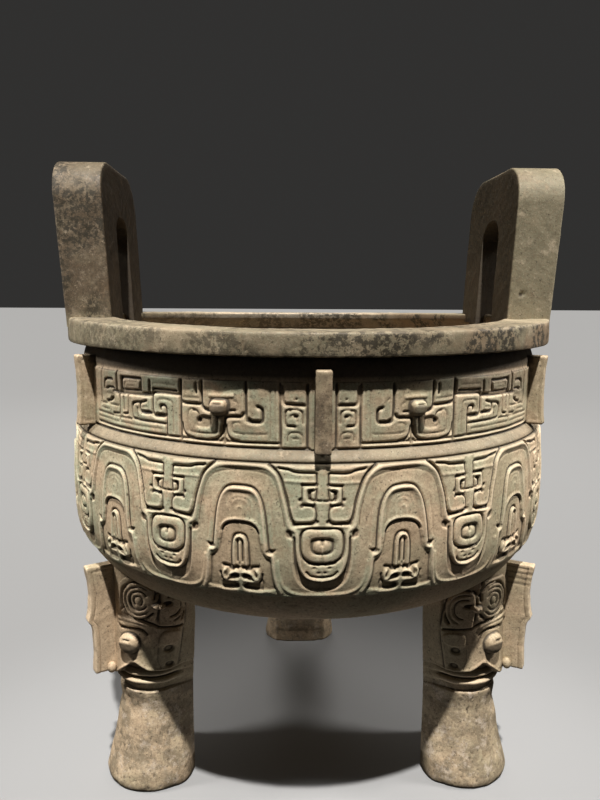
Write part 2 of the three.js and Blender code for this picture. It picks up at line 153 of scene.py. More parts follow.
class Relief:
    """Heights in mm over a patch of surface: s runs along it, z up it."""

    def __init__(self, s0, s1, z0, z1, level, step=0.5):
        self.s0, self.z0, self.step = s0, z0, step
        s = np.arange(s0, s1 + step, step)
        z = np.arange(z0, z1 + step, step)
        self.s, self.z = np.meshgrid(s, z, indexing="ij")
        self.height = np.full(self.s.shape, float(level))

    def window(self, line, reach):
        low = ((line.min(0) - reach - (self.s0, self.z0)) / self.step).astype(int)
        high = ((line.max(0) + reach - (self.s0, self.z0)) / self.step).astype(int) + 2
        low = np.maximum(low, 0)
        return slice(low[0], max(high[0], 0)), slice(low[1], max(high[1], 0))

    def distance(self, line, part):
        s, z = self.s[part], self.z[part]
        best = np.full(s.shape, 1e9)
        for (s0, z0), (s1, z1) in zip(line[:-1], line[1:]):
            ds, dz = s1 - s0, z1 - z0
            share = np.clip(((s - s0) * ds + (z - z0) * dz) / max(ds * ds + dz * dz, 1e-9), 0, 1)
            best = np.minimum(best, np.hypot(s - s0 - share * ds, z - z0 - share * dz))
        return best

    def groove(self, points, width=2.5, depth=2.8, soft=1.2, smooth=True):
        line = rounded(points) if smooth else np.array(points, float)
        part = self.window(line, width / 2 + soft)
        cut = smoothstep((width / 2 - self.distance(line, part)) / soft + 0.5)
        self.deepen(part, depth * cut)

    def deepen(self, part, depth):
        self.cut[part] = np.maximum(self.cut[part], depth)

    def cord(self, points, width, top):
        """A round cord whose top stands at one level, whatever it lies on."""
        line = rounded(points)
        part = self.window(line, width / 2)
        share = 1 - (self.distance(line, part) / (width / 2)) ** 2
        rise = (top - self.height[part]) * np.clip(share, 0, 1) ** 0.6
        self.lift[part] = np.maximum(self.lift[part], rise)

    def dish(self, points, half, low, high):
        """A band along a line, hollow in its middle."""
        line = rounded(points)
        part = self.window(line, half)
        away = self.distance(line, part) / half
        level = low + (high - low) * np.minimum(away, 1) ** 2.2
        inside = smoothstep((1 - away) * half / 1.2)
        self.height[part] += inside * (level - self.height[part])

    def ridge(self, points, width=4.0, height=1.2, smooth=True):
        line = rounded(points) if smooth else np.array(points, float)
        part = self.window(line, width / 2)
        share = 1 - (self.distance(line, part) / (width / 2)) ** 2
        self.lift[part] = np.maximum(self.lift[part], height * np.sqrt(np.clip(share, 0, 1)))

    def area(self, points, level, soft=1.2, smooth=True):
        """Brings what a closed line goes round to one level."""
        line = rounded(list(points) + [points[0]]) if smooth else np.array(list(points) + [points[0]], float)
        part = self.window(line, soft)
        s, z = self.s[part], self.z[part]
        odd = np.zeros(s.shape, bool)
        for (s0, z0), (s1, z1) in zip(line[:-1], line[1:]):
            if z0 == z1:
                continue
            crosses = (z0 > z) != (z1 > z)
            odd ^= crosses & (s < s0 + (z - z0) * (s1 - s0) / (z1 - z0))
        edge = self.distance(line, part)
        share = smoothstep(np.where(odd, edge, -edge) / soft + 0.5)
        self.height[part] += share * (level - self.height[part])

    @property
    def cut(self):
        if not hasattr(self, "_cut"):
            self._cut = np.zeros(self.s.shape)
        return self._cut

    @property
    def lift(self):
        if not hasattr(self, "_lift"):
            self._lift = np.zeros(self.s.shape)
        return self._lift

    def boss(self, s, z, half_s, half_z, height, power=2.5):
        """A proud knob, squarer with a higher power."""
        reach = np.abs((self.s - s) / half_s) ** power + np.abs((self.z - z) / half_z) ** power
        dome = height * np.clip(1 - reach, 0, 1) ** (1 / power)
        self.lift[...] = np.maximum(self.lift, dome)

    def pit(self, s, z, half_s, half_z, depth=2.8):
        reach = np.hypot((self.s - s) / half_s, (self.z - z) / half_z)
        self.cut[...] = np.maximum(self.cut, depth * smoothstep((1.25 - reach) / 0.5))

    def finish(self, blur=0.5):
        self.height = blurred(self.height + self.lift - self.cut, blur / self.step)
        # The open mark: positive where the relief stands above its surroundings (wear, lighter), negative where it
        # sinks below them (darker: dirt and painted shade)
        self.open = np.clip(self.height - blurred(self.height, 3.0 / self.step), -1.6, 1.0)

    def darken(self, s, z, half_s, half_z, value):
        """Lowers the open mark over a spot, after the relief is finished: painted shade on the eyes."""
        reach = np.hypot((self.s - s) / half_s, (self.z - z) / half_z)
        self.open = np.minimum(self.open, 1.0 + (value - 1.0) * smoothstep((1.3 - reach) / 0.5))

    def read(self, grid, s, z):
        u = np.clip((s - self.s0) / self.step, 0, grid.shape[0] - 1.001)
        v = np.clip((z - self.z0) / self.step, 0, grid.shape[1] - 1.001)
        i, j = u.astype(int), v.astype(int)
        u, v = u - i, v - j
        low = grid[i, j] * (1 - u) + grid[i + 1, j] * u
        high = grid[i, j + 1] * (1 - u) + grid[i + 1, j + 1] * u
        return low * (1 - v) + high * v


def blurred(grid, sigma):
    """Gaussian blur that reads the edge rows beyond the edges."""
    reach = max(1, int(3 * sigma))
    weights = np.exp(-0.5 * (np.arange(-reach, reach + 1) / sigma) ** 2)
    weights /= weights.sum()
    for axis in (0, 1):
        pad = [(0, 0), (0, 0)]
        pad[axis] = (reach, reach)
        padded = np.pad(grid, pad, mode="symmetric")
        size = grid.shape[axis]
        grid = sum(w * np.take(padded, range(k, k + size), axis) for k, w in enumerate(weights))
    return grid


def wave_relief():
    """Half a wave of the belly band: from the middle of a trough to the middle of a crest."""
    r = Relief(0, WAVE_HALF, 372, 548, 3.4)
    ground, cord = 0.3, 5.0
    # ribbon: hollow along its middle
    middle = [(0, 386), (22, 387), (33, 393), (41, 403), (45.5, 420), (48, 440), (51, 460), (54, 480)]
    middle += [(58, 498), (64, 513), (74, 524), (86, 529), (98, 530)]
    r.dish(middle, 14.5, 2.2, 3.7)
    # fields inside the crest, one step lower each
    field = [(98, 510), (88, 509), (81, 504), (77, 494), (75, 478), (73.5, 462), (98, 462)]
    r.area(field, 2.5, 2.0)
    hall = [(98, 472.6), (88, 471.6), (81, 468.4), (75.4, 463), (73, 452), (71.5, 438), (66, 431), (60, 428)]
    hall += [(59.5, 410), (57, 396), (54, 388), (98, 388)]
    r.area(hall, 1.3, 1.6)
    r.area([(88.4, 414), (88.4, 440), (90, 450), (94, 456), (98, 457.4), (98, 414)], 2.2, 1.4)
    # recesses down to the ground
    under_eye = [(0, 402), (13, 404.4), (20.6, 408.6), (26, 416), (29.6, 427), (31, 440), (31.4, 458), (34.4, 458)]
    under_eye += [(34.6, 436), (33.4, 420), (31, 407), (26, 397), (17, 390.4), (8, 388), (0, 387.6)]
    r.area(under_eye, ground, 1.6)
    r.area([(35, 456), (44, 457), (43, 466), (36, 466)], 0.9)
    r.area([(71, 387), (95, 387), (95, 395.4), (86, 394.8), (76, 396), (72, 402), (69, 396)], -0.2)
    r.area([(12.6, 502), (17, 502), (17, 514), (12.6, 514)], 0.6)
    r.area([(55.4, 442.4), (63.6, 442.4), (60, 436)], ground)
    # eye, its pad and its pupil
    eye_pad = [(0, 468), (12, 468), (20, 466), (24, 460), (24.8, 448), (24, 437), (20, 430), (12, 426.6), (0, 425.6)]
    r.area(eye_pad, 4.0, 2.0)
    r.ridge([(0, 461), (10, 461), (17, 458), (19.4, 448), (18, 438), (11, 432.6), (0, 432)], 9.0, 0.9)
    r.area([(0, 457.4), (9, 457), (13.6, 453), (14.4, 446), (13, 439.6), (8, 436.6), (0, 436)], 2.2, 2.0)
    r.boss(0, 445.8, 10.4, 7.6, 2.9, 2.6)
    # raised cords
    rim = [(98, 540.6), (76, 540.4), (67, 538.6), (60, 534), (55, 529.6), (51, 523), (48, 514), (46, 506)]
    rim += [(43.5, 497), (41.5, 488), (40.4, 479), (39.4, 471), (36, 467.4), (31, 465.6), (29, 460), (28.5, 440)]
    rim += [(27, 428), (24.5, 418), (20, 410.5), (13, 406), (0, 403.8)]
    r.cord(rim, 5.4, cord)
    arch = [(98, 513.4), (90, 513.2), (84.6, 512), (80.6, 509.4), (77, 505), (74, 499), (72.2, 490)]
    arch += [(70.6, 478), (69.4, 465), (68.4, 452), (67.2, 442), (66.4, 437), (62, 435.4), (58.6, 433.4)]
    arch += [(57.6, 424), (56.6, 412), (54.6, 400), (52, 392), (49, 386)]
    r.cord(arch, 5.0, cord)
    r.cord([(98, 476.4), (90, 476), (84, 474.4), (79, 471.4), (75.6, 467), (73.4, 460), (71.6, 450)], 4.2, 4.1)
    r.cord([(89.9, 418), (90, 435), (90.5, 445), (91.8, 451), (94.2, 454.4), (98, 455.6)], 3.6, 4.2)
    r.cord([(98, 447), (98, 424)], 3.4, 3.9)
    r.cord([(94.6, 478), (94.6, 488), (95.8, 491), (98, 491.8)], 2.4, 3.6)
    r.cord([(88.4, 480), (88.4, 493), (91.6, 499), (98, 500.6)], 2.2, 3.1)
    r.cord([(82.8, 482), (83.8, 496), (88.4, 503.4), (98, 505.2)], 2.2, 3.0)
    scroll = [(96, 409.6), (91, 410.6), (84.6, 408), (82.6, 403.6), (79, 400.6), (76, 403), (75.4, 408), (78, 412.4)]
    r.cord(scroll, 3.8, 4.2)
    r.cord([(76, 401), (80, 398.8), (88, 398.4), (94, 399.6)], 3.4, 4.0)
    r.cord([(98, 413), (98, 386)], 5.4, 3.8)
    r.cord([(34, 381.4), (50, 382), (58, 385), (64, 386.4), (72, 385), (82, 383.4), (92, 384.6), (98, 386)], 4.4, 3.6)
    r.cord([(0, 382.6), (24, 383), (36, 385.6), (43, 389.6), (47.6, 395), (50.6, 403), (52.6, 414), (53.8, 428)], 4.2, 4.0)
    r.cord([(0, 471.4), (20, 471), (30, 469)], 4.0, 4.4)
    # stem, hook and brow of the trough
    r.cord([(0, 536), (0, 476)], 10.5, 4.3)
    r.cord([(7.4, 516.4), (17.6, 516.2), (20, 513.6), (20, 502), (17.6, 499.2), (9, 498.8)], 4.6, 4.9)
    r.cord([(11.6, 503), (11.4, 510.6)], 2.6, 4.0)
    r.cord([(9, 523), (30, 523), (43, 523.6)], 4.4, 4.4)
    r.cord([(9, 539), (36, 539), (50, 541)], 3.8, 4.3)
    r.cord([(8.6, 488), (9, 481.6), (13, 478.6), (24, 477.8), (31.6, 478.4), (34, 483), (36, 492)], 4.6, 4.4)
    # grooves
    g = r.groove
    g([(0, 544.9), (98, 544.9)], 2.6, 4.4)
    g([(10, 533.6), (33, 533.8), (38, 536.8), (50, 538)], 2.6, 3.2)
    g([(40, 537.2), (52, 538.6)], 2.8, 3.0)
    g([(7.4, 533), (7.0, 524), (7.2, 505), (9.6, 497), (7.4, 489), (7, 480), (8.6, 475.6)], 2.2, 3.0)
    g([(6.6, 519.4), (23, 519.4)], 3.2, 3.6)
    g([(23.6, 521), (23.5, 495)], 1.8, 2.2)
    r.pit(25.5, 502, 2, 2)
    r.pit(23.5, 494.4, 2, 2)
    r.pit(11.8, 512.8, 2.0, 1.7, 3.4)
    r.pit(13.5, 502, 2.0, 1.7, 3.2)
    g([(1.5, 500.8), (12, 500.8)], 2.0, 3.0)
    g([(22, 496), (12, 495.8), (9.4, 493)], 2.8, 3.4)
    heavy = [(6, 476.4), (12, 473.8), (22, 473), (31, 473), (35, 476.4), (37, 482), (38.6, 490), (40.6, 500)]
    heavy += [(43.2, 508.6), (45.4, 516), (48.2, 525), (52.6, 532.6), (58, 538), (64, 542.6)]
    g(heavy, 3.4, 3.8)
    g([(12, 473.4), (33, 473)], 4.2, 3.8)
    inside = [(98, 534.6), (80, 534.2), (70, 532), (62, 528.6), (57.6, 524), (53.6, 517), (51.4, 509), (49.4, 500)]
    inside += [(47, 490), (45.4, 480), (44.6, 470)]
    g(inside, 1.5, 1.0)
    eye = [(0, 468.4), (12, 468.4), (20.4, 467), (24, 462), (25.4, 456), (25.6, 448), (25, 438), (22.6, 432.4)]
    eye += [(18, 428.4), (12, 426), (0, 424.9)]
    g(eye, 2.6, 3.6)
    g([(4, 425), (15, 426.4)], 3.6, 3.6)
    g([(0, 454.6), (0, 449)], 3.0, 2.6)
    g([(18.4, 414.6), (15, 410), (9, 408.4), (0, 408)], 2.4, 2.8)
    r.pit(9, 420, 2.6, 1.6, 1.4)
    r.pit(4, 414, 2.4, 1.5, 1.2)
    channel = [(98, 517.4), (90, 517), (84, 515.9), (79.4, 512.8), (75.4, 508), (72, 501), (69.6, 493)]
    channel += [(67.5, 482), (66.2, 470), (65, 458), (64, 447), (63.4, 440)]
    g(channel, 2.6, 2.6)
    r.pit(63.6, 439.4, 3.0, 2.8, 2.8)
    g([(61.6, 500), (60, 488), (58.4, 476), (57.2, 462), (56.8, 449)], 1.3, 0.9)
    g([(98, 473.4), (88, 472.6), (82, 469.8), (77.6, 465.6), (75.4, 460)], 2.4, 2.0)
    g([(98, 458.8), (92.6, 457.6), (89.4, 453.6), (87.6, 446), (87, 432), (86.6, 419)], 2.4, 2.2)
    g([(95.2, 450), (95.2, 424)], 2.2, 2.4)
    g([(88, 416.4), (95, 415.6)], 4.0, 3.2)
    g([(76.6, 417.6), (84, 416.4)], 4.0, 2.4)
    g([(84.4, 414), (88, 413)], 3.2, 2.4)
    g([(86, 404.6), (94.6, 404.6)], 3.4, 3.4)
    g([(71.6, 408), (72.4, 400), (75, 397)], 2.2, 2.0)
    r.finish()
    return r


def neck_relief():
    """Half a mask of the neck: from its nose to the middle of the next flange."""
    r = Relief(0, MASK_HALF, NECK_LOW_Z, NECK_HIGH_Z + 4, 3.3)

    def g(points, width=2.5, depth=2.8, smooth=True):
        r.groove(points, width * 0.84, depth, 1.0, smooth)

    low, high = 565.4, 638.6
    # rounded lower corners of the raised tongues, and the channel between them
    g([(108.6, 584), (107.6, 574), (102.6, 568), (92, 566)], 3.6, 3.2)
    g([(112.6, 584), (113.6, 574), (118.6, 568), (129, 566)], 3.6, 3.2)
    g([(168.4, 584), (167.2, 574), (161.6, 568), (151, 566)], 3.6, 3.2)
    r.pit(110.6, 566.4, 5.0, 3.4, 3.0)
    # channels between the raised bands: floors wide enough to see
    g([(14, 559.4), (373, 559.4)], 2.6, 3.4)
    g([(16.2, 561), (16.2, 636)], 4.2, 2.8)
    g([(45.4, 562), (45.4, 636)], 4.4, 2.6)
    g([(45, low), (104, low), (109.5, low)], 3.4, 3.0)
    g([(70.5, 608), (65.6, 606), (65, 601), (65, 592), (68, 589.8), (81, 589.8), (84.8, 593), (85, 636)], 4.6, 3.0)
    g([(69, 591.6), (78.6, 591.6), (80.6, 594)], 3.4, 3.4)
    g([(87.6, 599.6), (89, 595.2), (103, 594.8), (110, 594), (110.6, 586), (110.6, 570), (110.6, 563)], 4.4, 3.0)
    g([(89, 596.6), (101, 596.2)], 2.4, 3.4)
    g([(110, low), (160, low), (172, low)], 3.4, 3.0)
    g([(170.6, 563), (170.6, 636)], 5.2, 3.0)
    g([(125, 600.6), (133.4, 601.4), (139, 605), (139.6, 612), (139.6, 636)], 4.0, 3.0)
    g([(139, 608.6), (165, 608.4), (170, 612)], 4.4, 3.0)
    g([(172, 618.4), (214, 618.2), (217, 614), (216.6, 592), (213, 588.6), (197, 589), (193.6, 592)], 4.6, 3.0)
    g([(177, 622.4), (214, 621.6)], 3.4, 3.4)
    g([(198.4, 591.6), (209, 591.2)], 3.2, 3.4)
    g([(193.4, 566), (193.4, 600), (196, 602.6), (202, 602.6), (204, 600), (203, 597.4)], 3.6, 2.8)
    g([(172, low), (234, low), (345, low)], 3.2, 2.8)
    g([(217, 613.4), (300, 612.6)], 4.6, 3.0)
    g([(220, 591.2), (238, 590.8), (241.4, 594), (241, 602)], 4.4, 3.0)
    g([(222, 592.8), (236.6, 592.4)], 3.0, 3.4)
    g([(228, 606), (238, 603), (247, 603), (257.4, 600), (257.4, 584), (254, 580.6), (195, 580.4)], 3.4, 2.4)
    g([(246, 596), (246, 584)], 2.6, 2.2)
    g([(266.4, 610), (266.4, 588), (269.4, 585.2), (276, 585)], 3.6, 2.6)
    g([(276.4, 608), (276.4, 590)], 2.6, 2.4)
    g([(286, 610), (286, 576)], 3.2, 2.6)
    g([(258, 580), (345, 580)], 2.4, 1.8)
    g([(200, 573), (345, 573)], 1.8, 1.2)
    g([(238.6, 632), (238.6, 617.6), (279.6, 616.6), (279.6, 632), (238.6, 632.4)], 4.6, 3.2, smooth=False)
    g([(221, 632), (221.2, 616)], 3.6, 3.2)
    g([(220, 616), (236, 615.4)], 3.0, 3.4)
    g([(291.6, 638), (291.6, 612)], 4.4, 3.2)
    g([(299, 616.4), (312, 616.2), (319, 613.4)], 3.4, 3.2)
    g([(303, 627), (319, 626.8), (324, 624), (324.6, 613.6)], 4.0, 3.2)
    g([(300, 604), (305, 601), (309, 598.4), (317, 597.2)], 3.8, 3.2)
    r.pit(304.6, 602, 2.8, 2.8, 3.4)
    g([(289, 584), (301, 583.4)], 3.0, 2.6)
    g([(289, 594.6), (334, 593.6)], 2.2, 1.8)
    g([(334, 592), (334, 646)], 3.4, 2.2)
    # nose strip: two small scrolls
    g([(19, 611), (38.6, 611), (42.4, 614.6), (42.6, 634)], 4.2, 2.4)
    g([(20, 613.4), (39, 613.4)], 2.0, 3.0)
    g([(21, 590), (21, 602), (25, 606.6), (36, 606.6), (40, 603), (40.4, 590), (37, 586), (29, 585.6)], 2.8, 2.2)
    g([(30, 586.6), (38.4, 586.6)], 2.4, 3.2)
    g([(27, 592), (27, 598.6), (33, 600.6), (35, 596)], 2.0, 1.8)
    r.pit(28.4, 598.2, 2.6, 2.0, 3.0)
    r.pit(34.6, 604.8, 1.8, 1.4, 2.2)
    r.pit(28, 619, 1.6, 1.4, 2.0)
    g([(21, 566.6), (21, 575), (25, 579.4), (34, 579.4), (37.6, 576), (37.4, 569)], 2.0, 1.6)
    g([(26, 572), (32, 572)], 1.8, 1.4)
    # thin lines that follow the bands
    t = 2.1
    g([(56.6, 570), (56.6, 630)], t, 1.1)
    g([(60, 577), (62, 575.6), (98, 575.6), (101.4, 578.6), (101.4, 586), (98, 588.4), (92, 588.4)], t, 1.2)
    g([(50.6, 569), (50.6, 632)], t, 0.9)
    g([(75, 597), (75, 616), (79, 619)], t, 1.0)
    g([(94, 602), (94, 612), (99, 614)], t, 1.0)
    g([(119, 597), (119, 577), (122.6, 573.6), (155, 573.4), (159, 577), (159.6, 598), (155, 602)], t, 1.3)
    g([(155, 602), (149, 602), (146, 599)], t, 1.3)
    r.area([(127, 594), (127, 584), (131, 580), (146, 580), (149, 584), (144, 592), (138, 596)], 1.2, 2.0)
    r.pit(143.6, 589.4, 2.6, 3.4, 2.6)
    g([(143.6, 590), (143.2, 597), (147, 600.6), (152, 600.2)], 2.4, 2.0)
    g([(182.4, 570), (182.4, 606), (186, 610), (205, 610), (209.6, 606), (209.8, 597)], t, 1.2)
    g([(226, 598), (232, 598.4), (236, 597)], t, 1.0)
    g([(249.6, 598), (249.6, 587)], t, 1.0)
    g([(271.4, 606), (271.4, 590)], t, 1.0)
    g([(261.6, 606), (261.6, 586)], t, 1.0)
    g([(245, 627.6), (256, 628), (270, 627.6), (273.6, 624.6), (273.6, 621)], t, 1.3)
    g([(252, 622.4), (266, 622.2)], t, 1.0)
    g([(180, 629), (214, 629)], t, 1.0)
    g([(143, 616), (166, 616)], t, 1.0)
    g([(297, 608), (316, 607.6)], t, 1.0)
    g([(313, 586.6), (334, 586.4)], t, 1.0)
    g([(147, 622), (147, 634)], 3.0, 2.4)
    # eye, its slit, brow and corners
    r.boss(116.5, 606.6, 10.2, 9.4, 10.5, 3.4)
    r.ridge([(100, 620.4), (128, 620.4)], 5.0, 1.4)
    g([(97.6, 602.6), (103, 602.4)], 2.6, 3.2)
    g([(127, 603), (133.6, 603), (137, 606)], 2.6, 3.2)
    g([(112, 611.6), (121, 611.6)], 2.0, 3.4)
    g([(14, high), (345, high)], 2.0, 1.6)
    r.finish()
    # Painted shade over the lower half of the eye boss
    r.darken(116.5, 603.0, 12.0, 9.6, -0.95)
    return r


def arc(centre, radius, start, end, squash=1.0):
    """Points on part of an ellipse; angles in degrees, counted from +s towards +z."""
    turn = np.radians(np.linspace(start, end, max(4, int(abs(end - start) / 20))))
    return [(centre[0] + radius * math.cos(v), centre[1] + radius * squash * math.sin(v)) for v in turn]


def leg_relief():
    """Half a leg mask: from the flange round to the plain side. s is mm round a leg 70 mm in radius."""
    r = Relief(0, 130, 168, 350, 2.0)
    deg = math.radians(1) * 70
    g = r.groove

    def at(points):
        return [(u * deg, v) for u, v in points]

    horn, side = (38 * deg, 302), (74 * deg, 293)
    r.area(at([(12, 281), (30, 277.4), (50, 273), (58, 270), (60, 300), (60, 330), (40, 338), (12, 334)]), 5.0)
    r.area(at([(62, 265), (94, 260.6), (96, 285), (93, 310), (80, 324), (62, 326)]), 6.4)
    r.area(at([(67, 233), (93, 232), (93, 253), (67, 255)]), 5.0)
    # two brows over the eye
    r.area(at([(10, 272), (30, 271.4), (45, 269), (54, 263), (50, 257.6), (40, 262), (30, 260), (10, 258.4)]), 4.2)
    g(at([(12, 265.6), (30, 266.6), (44, 265.6), (51, 261)]), 1.6, 1.2)
    g(at([(16, 255), (28, 256.4), (38, 258.6), (46, 256), (51, 250)]), 3.0, 3.4)
    # coiled horn, its tip and the scroll beside it
    g(arc(horn, 26.0, 40, 322, 1.12), 3.4, 3.8)
    g(arc(horn, 19.4, 52, 318, 1.12), 2.0, 1.8)
    g(arc(horn, 13.0, 30, 330, 1.12), 2.4, 2.6)
    g(arc(horn, 6.6, -50, 230, 1.1), 2.2, 2.2)
    for radius in (23.0, 16.4, 10.0):
        g(arc(horn, radius, 110, 290, 1.12), 1.0, 0.8)
    for radius in (22.6, 16.2):
        r.ridge(arc(horn, radius, 60, 300, 1.12), 4.6, 0.9)
    r.boss(horn[0], horn[1], 3.4, 3.8, 1.2, 2.0)
    g(arc(side, 26.0, -50, 140, 1.15), 3.4, 4.4)
    g(arc(side, 19.8, -75, 110, 1.15), 2.0, 1.8)
    g(arc(side, 13.6, -90, 110, 1.12), 2.4, 2.4)
    for radius in (23.0, 16.6):
        g(arc(side, radius, -60, 80, 1.14), 1.0, 0.8)
        r.ridge(arc(side, radius, -60, 100, 1.14), 4.6, 0.9)
    r.boss(61.5 * deg, 296, 8.0, 5.4, 12.0, 1.8)
    r.pit(69.5 * deg, 297.6, 6.5, 3.4, 5.0)
    g(at([(56, 306), (57, 320), (54, 332)]), 3.0, 4.4)
    g(at([(30, 275), (42, 272.6), (50, 269.6), (62, 262)]), 3.0, 3.4)
    g(at([(62, 261.6), (93, 257)]), 3.6, 3.4)
    g(at([(14, 282), (20, 290), (16, 300)]), 2.4, 2.6)
    # eye, nostril and the hollows beside the ear
    r.boss(30.4 * deg, 234.0, 16.0, 15.6, 12.5, 2.3)
    g(at([(26, 241.6), (33.6, 242.4)]), 2.0, 3.2)
    r.ridge(at([(23, 236.8), (35, 237.6)]), 4.6, 13.0)
    r.pit(79 * deg, 224.6, 7.6, 5.4, 3.6)
    r.pit(83 * deg, 199.6, 7.0, 4.6, 3.2)
    r.ridge(at([(56, 250), (57, 240), (60, 228), (64, 216)]), 7.0, 0.9)
    g(at([(66, 228), (66, 210), (72, 196)]), 2.0, 1.2)
    g(at([(96, 190), (97, 250), (98, 320)]), 3.0, 2.4)
    r.finish(0.45)
    # The whole eye boss a little darker, then painted shade over its lower half
    r.darken(30.4 * deg, 235.0, 16.0, 16.0, -0.5)
    r.darken(30.4 * deg, 228.5, 17.0, 11.5, -1.2)
    return r


def bowl_radius(z):
    """Radius of the belly at a height, without its relief."""
    rise = np.asarray(z, float) - BELLY_WIDEST_Z
    drop = np.clip(-rise / BELLY_LOWER_DEPTH, 0, 0.999)
    upper = BELLY_R - rise**2 / (2 * BELLY_UPPER_CURVE_R)
    lower = BELLY_R * (1 - drop**BELLY_POWER_Z) ** (1 / BELLY_POWER_R)
    return np.where(rise >= 0, upper, lower)


def belly_height(radius):
    share = 1 - (np.asarray(radius, float) / BELLY_R) ** BELLY_POWER_R
    return BELLY_WIDEST_Z - BELLY_LOWER_DEPTH * share ** (1 / BELLY_POWER_Z)


DOME_SAG = float(belly_height(DOME_EDGE_R)) - DOME_BOTTOM_Z
DOME_SPHERE_R = (DOME_EDGE_R**2 + DOME_SAG**2) / (2 * DOME_SAG)


def dome_height(radius):
    return DOME_BOTTOM_Z + DOME_SPHERE_R - np.sqrt(DOME_SPHERE_R**2 - np.asarray(radius, float) ** 2)


def underside_height(radius):
    """Height of the bowl's underside at a radius."""
    return np.where(radius < DOME_EDGE_R, dome_height(np.minimum(radius, DOME_EDGE_R)), belly_height(radius))


def polar(radius, degrees, z):
    """Points from radius, angle from the front towards +X, and height."""
    turn = np.radians(degrees)
    radius, turn, z = np.broadcast_arrays(radius, turn, np.asarray(z, float))
    return np.stack([radius * np.sin(turn), -radius * np.cos(turn), z], -1)


def lifted(profile, lift):
    """Moves the points of a profile of radius and height out along its normal."""
    profile = np.asarray(profile, float)
    along = np.gradient(profile, axis=0)
    along /= np.linalg.norm(along, axis=1)[:, None]
    return profile + np.stack([along[:, 1], -along[:, 0]], 1) * lift


def skin_faces(rows, columns, around, along):
    """Faces that join a grid of points into a closed skin, with caps where the grid ends."""
    index = np.arange(rows * columns).reshape(rows, columns)
    low = index if along else index[:-1]
    high = np.roll(index, -1, 0) if along else index[1:]
    if around:
        quads = [low, np.roll(low, -1, 1), np.roll(high, -1, 1), high]
    else:
        quads = [low[:, :-1], low[:, 1:], high[:, 1:], high[:, :-1]]
    faces = np.stack(quads, -1).reshape(-1, 4).tolist()
    caps = []
    if not along:
        caps += [index[0][::-1].tolist(), index[-1].tolist()]
    if not around:
        caps += [index[:, 0].tolist(), index[:, -1][::-1].tolist()]
    return faces, caps


def volume_of(points, faces):
    quads = np.array([face for face in faces if len(face) == 4])
    a, b, c, d = (points[quads[:, k]] for k in range(4))
    return float((np.cross(a, b) * c).sum() + (np.cross(a, c) * d).sum())


def piece(name, grids, material):
    """One object from closed grids. Each grid is (points, around, along)."""
    points, faces, caps = [], [], []
    marks = {"open": [], "raised": []}
    start = 0
    for grid in grids:
        rows, columns = grid["points"].shape[:2]
        flat = grid["points"].reshape(-1, 3)
        grid_faces, grid_caps = skin_faces(rows, columns, grid.get("around", True), grid.get("along", False))
        if volume_of(flat, grid_faces) < 0:
            grid_faces = [face[::-1] for face in grid_faces]
            grid_caps = [face[::-1] for face in grid_caps]
        faces += [[v + start for v in face] for face in grid_faces + grid_caps]
        caps += [len(faces) - 1 - k for k in range(len(grid_caps))]
        for mark, values in marks.items():
            value = grid.get(mark)
            values.append(np.zeros(rows * columns) if value is None else value.reshape(-1))
        points.append(flat)
        start += rows * columns
    inside = np.clip(np.vstack(points) * MM, np.array(CAD_BOX[0]) + 2e-5, np.array(CAD_BOX[1]) - 2e-5)
    inside[:, 2] = np.maximum(np.vstack(points)[:, 2] * MM, 0)
    mesh = bpy.data.meshes.new(name)
    mesh.from_pydata(inside.tolist(), [], faces)
    mesh.polygons.foreach_set("use_smooth", np.ones(len(faces), bool))
    for mark, values in marks.items():
        attribute = mesh.attributes.new(mark, "FLOAT", "POINT")
        attribute.data.foreach_set("value", np.concatenate(values).astype(np.float32))
    mark_sharp(mesh, caps)
    mesh.materials.append(material)
    mesh.update()
    obj = bpy.data.objects.new(name, mesh)
    bpy.context.scene.collection.objects.link(obj)
    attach(obj, "root")
    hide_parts(NODE)
    return obj


def mark_sharp(mesh, caps):
    """Keeps the smooth shading of a skin from bending over the edges of its caps."""
    edges = set()
    for cap in caps:
        edges.update(mesh.polygons[cap].edge_keys)
    if not edges:
        return
    flags = np.zeros(len(mesh.edges), bool)
    for k, key in enumerate(mesh.edges):
        if tuple(sorted(key.vertices)) in edges:
            flags[k] = True
    attribute = mesh.attributes.new("sharp_edge", "BOOLEAN", "EDGE")
    attribute.data.foreach_set("value", flags)


wander = waves(9, 260, 60, 11)
wander_up = waves(9, 240, 50, 12)
wear = waves(10, 150, 25, 13)


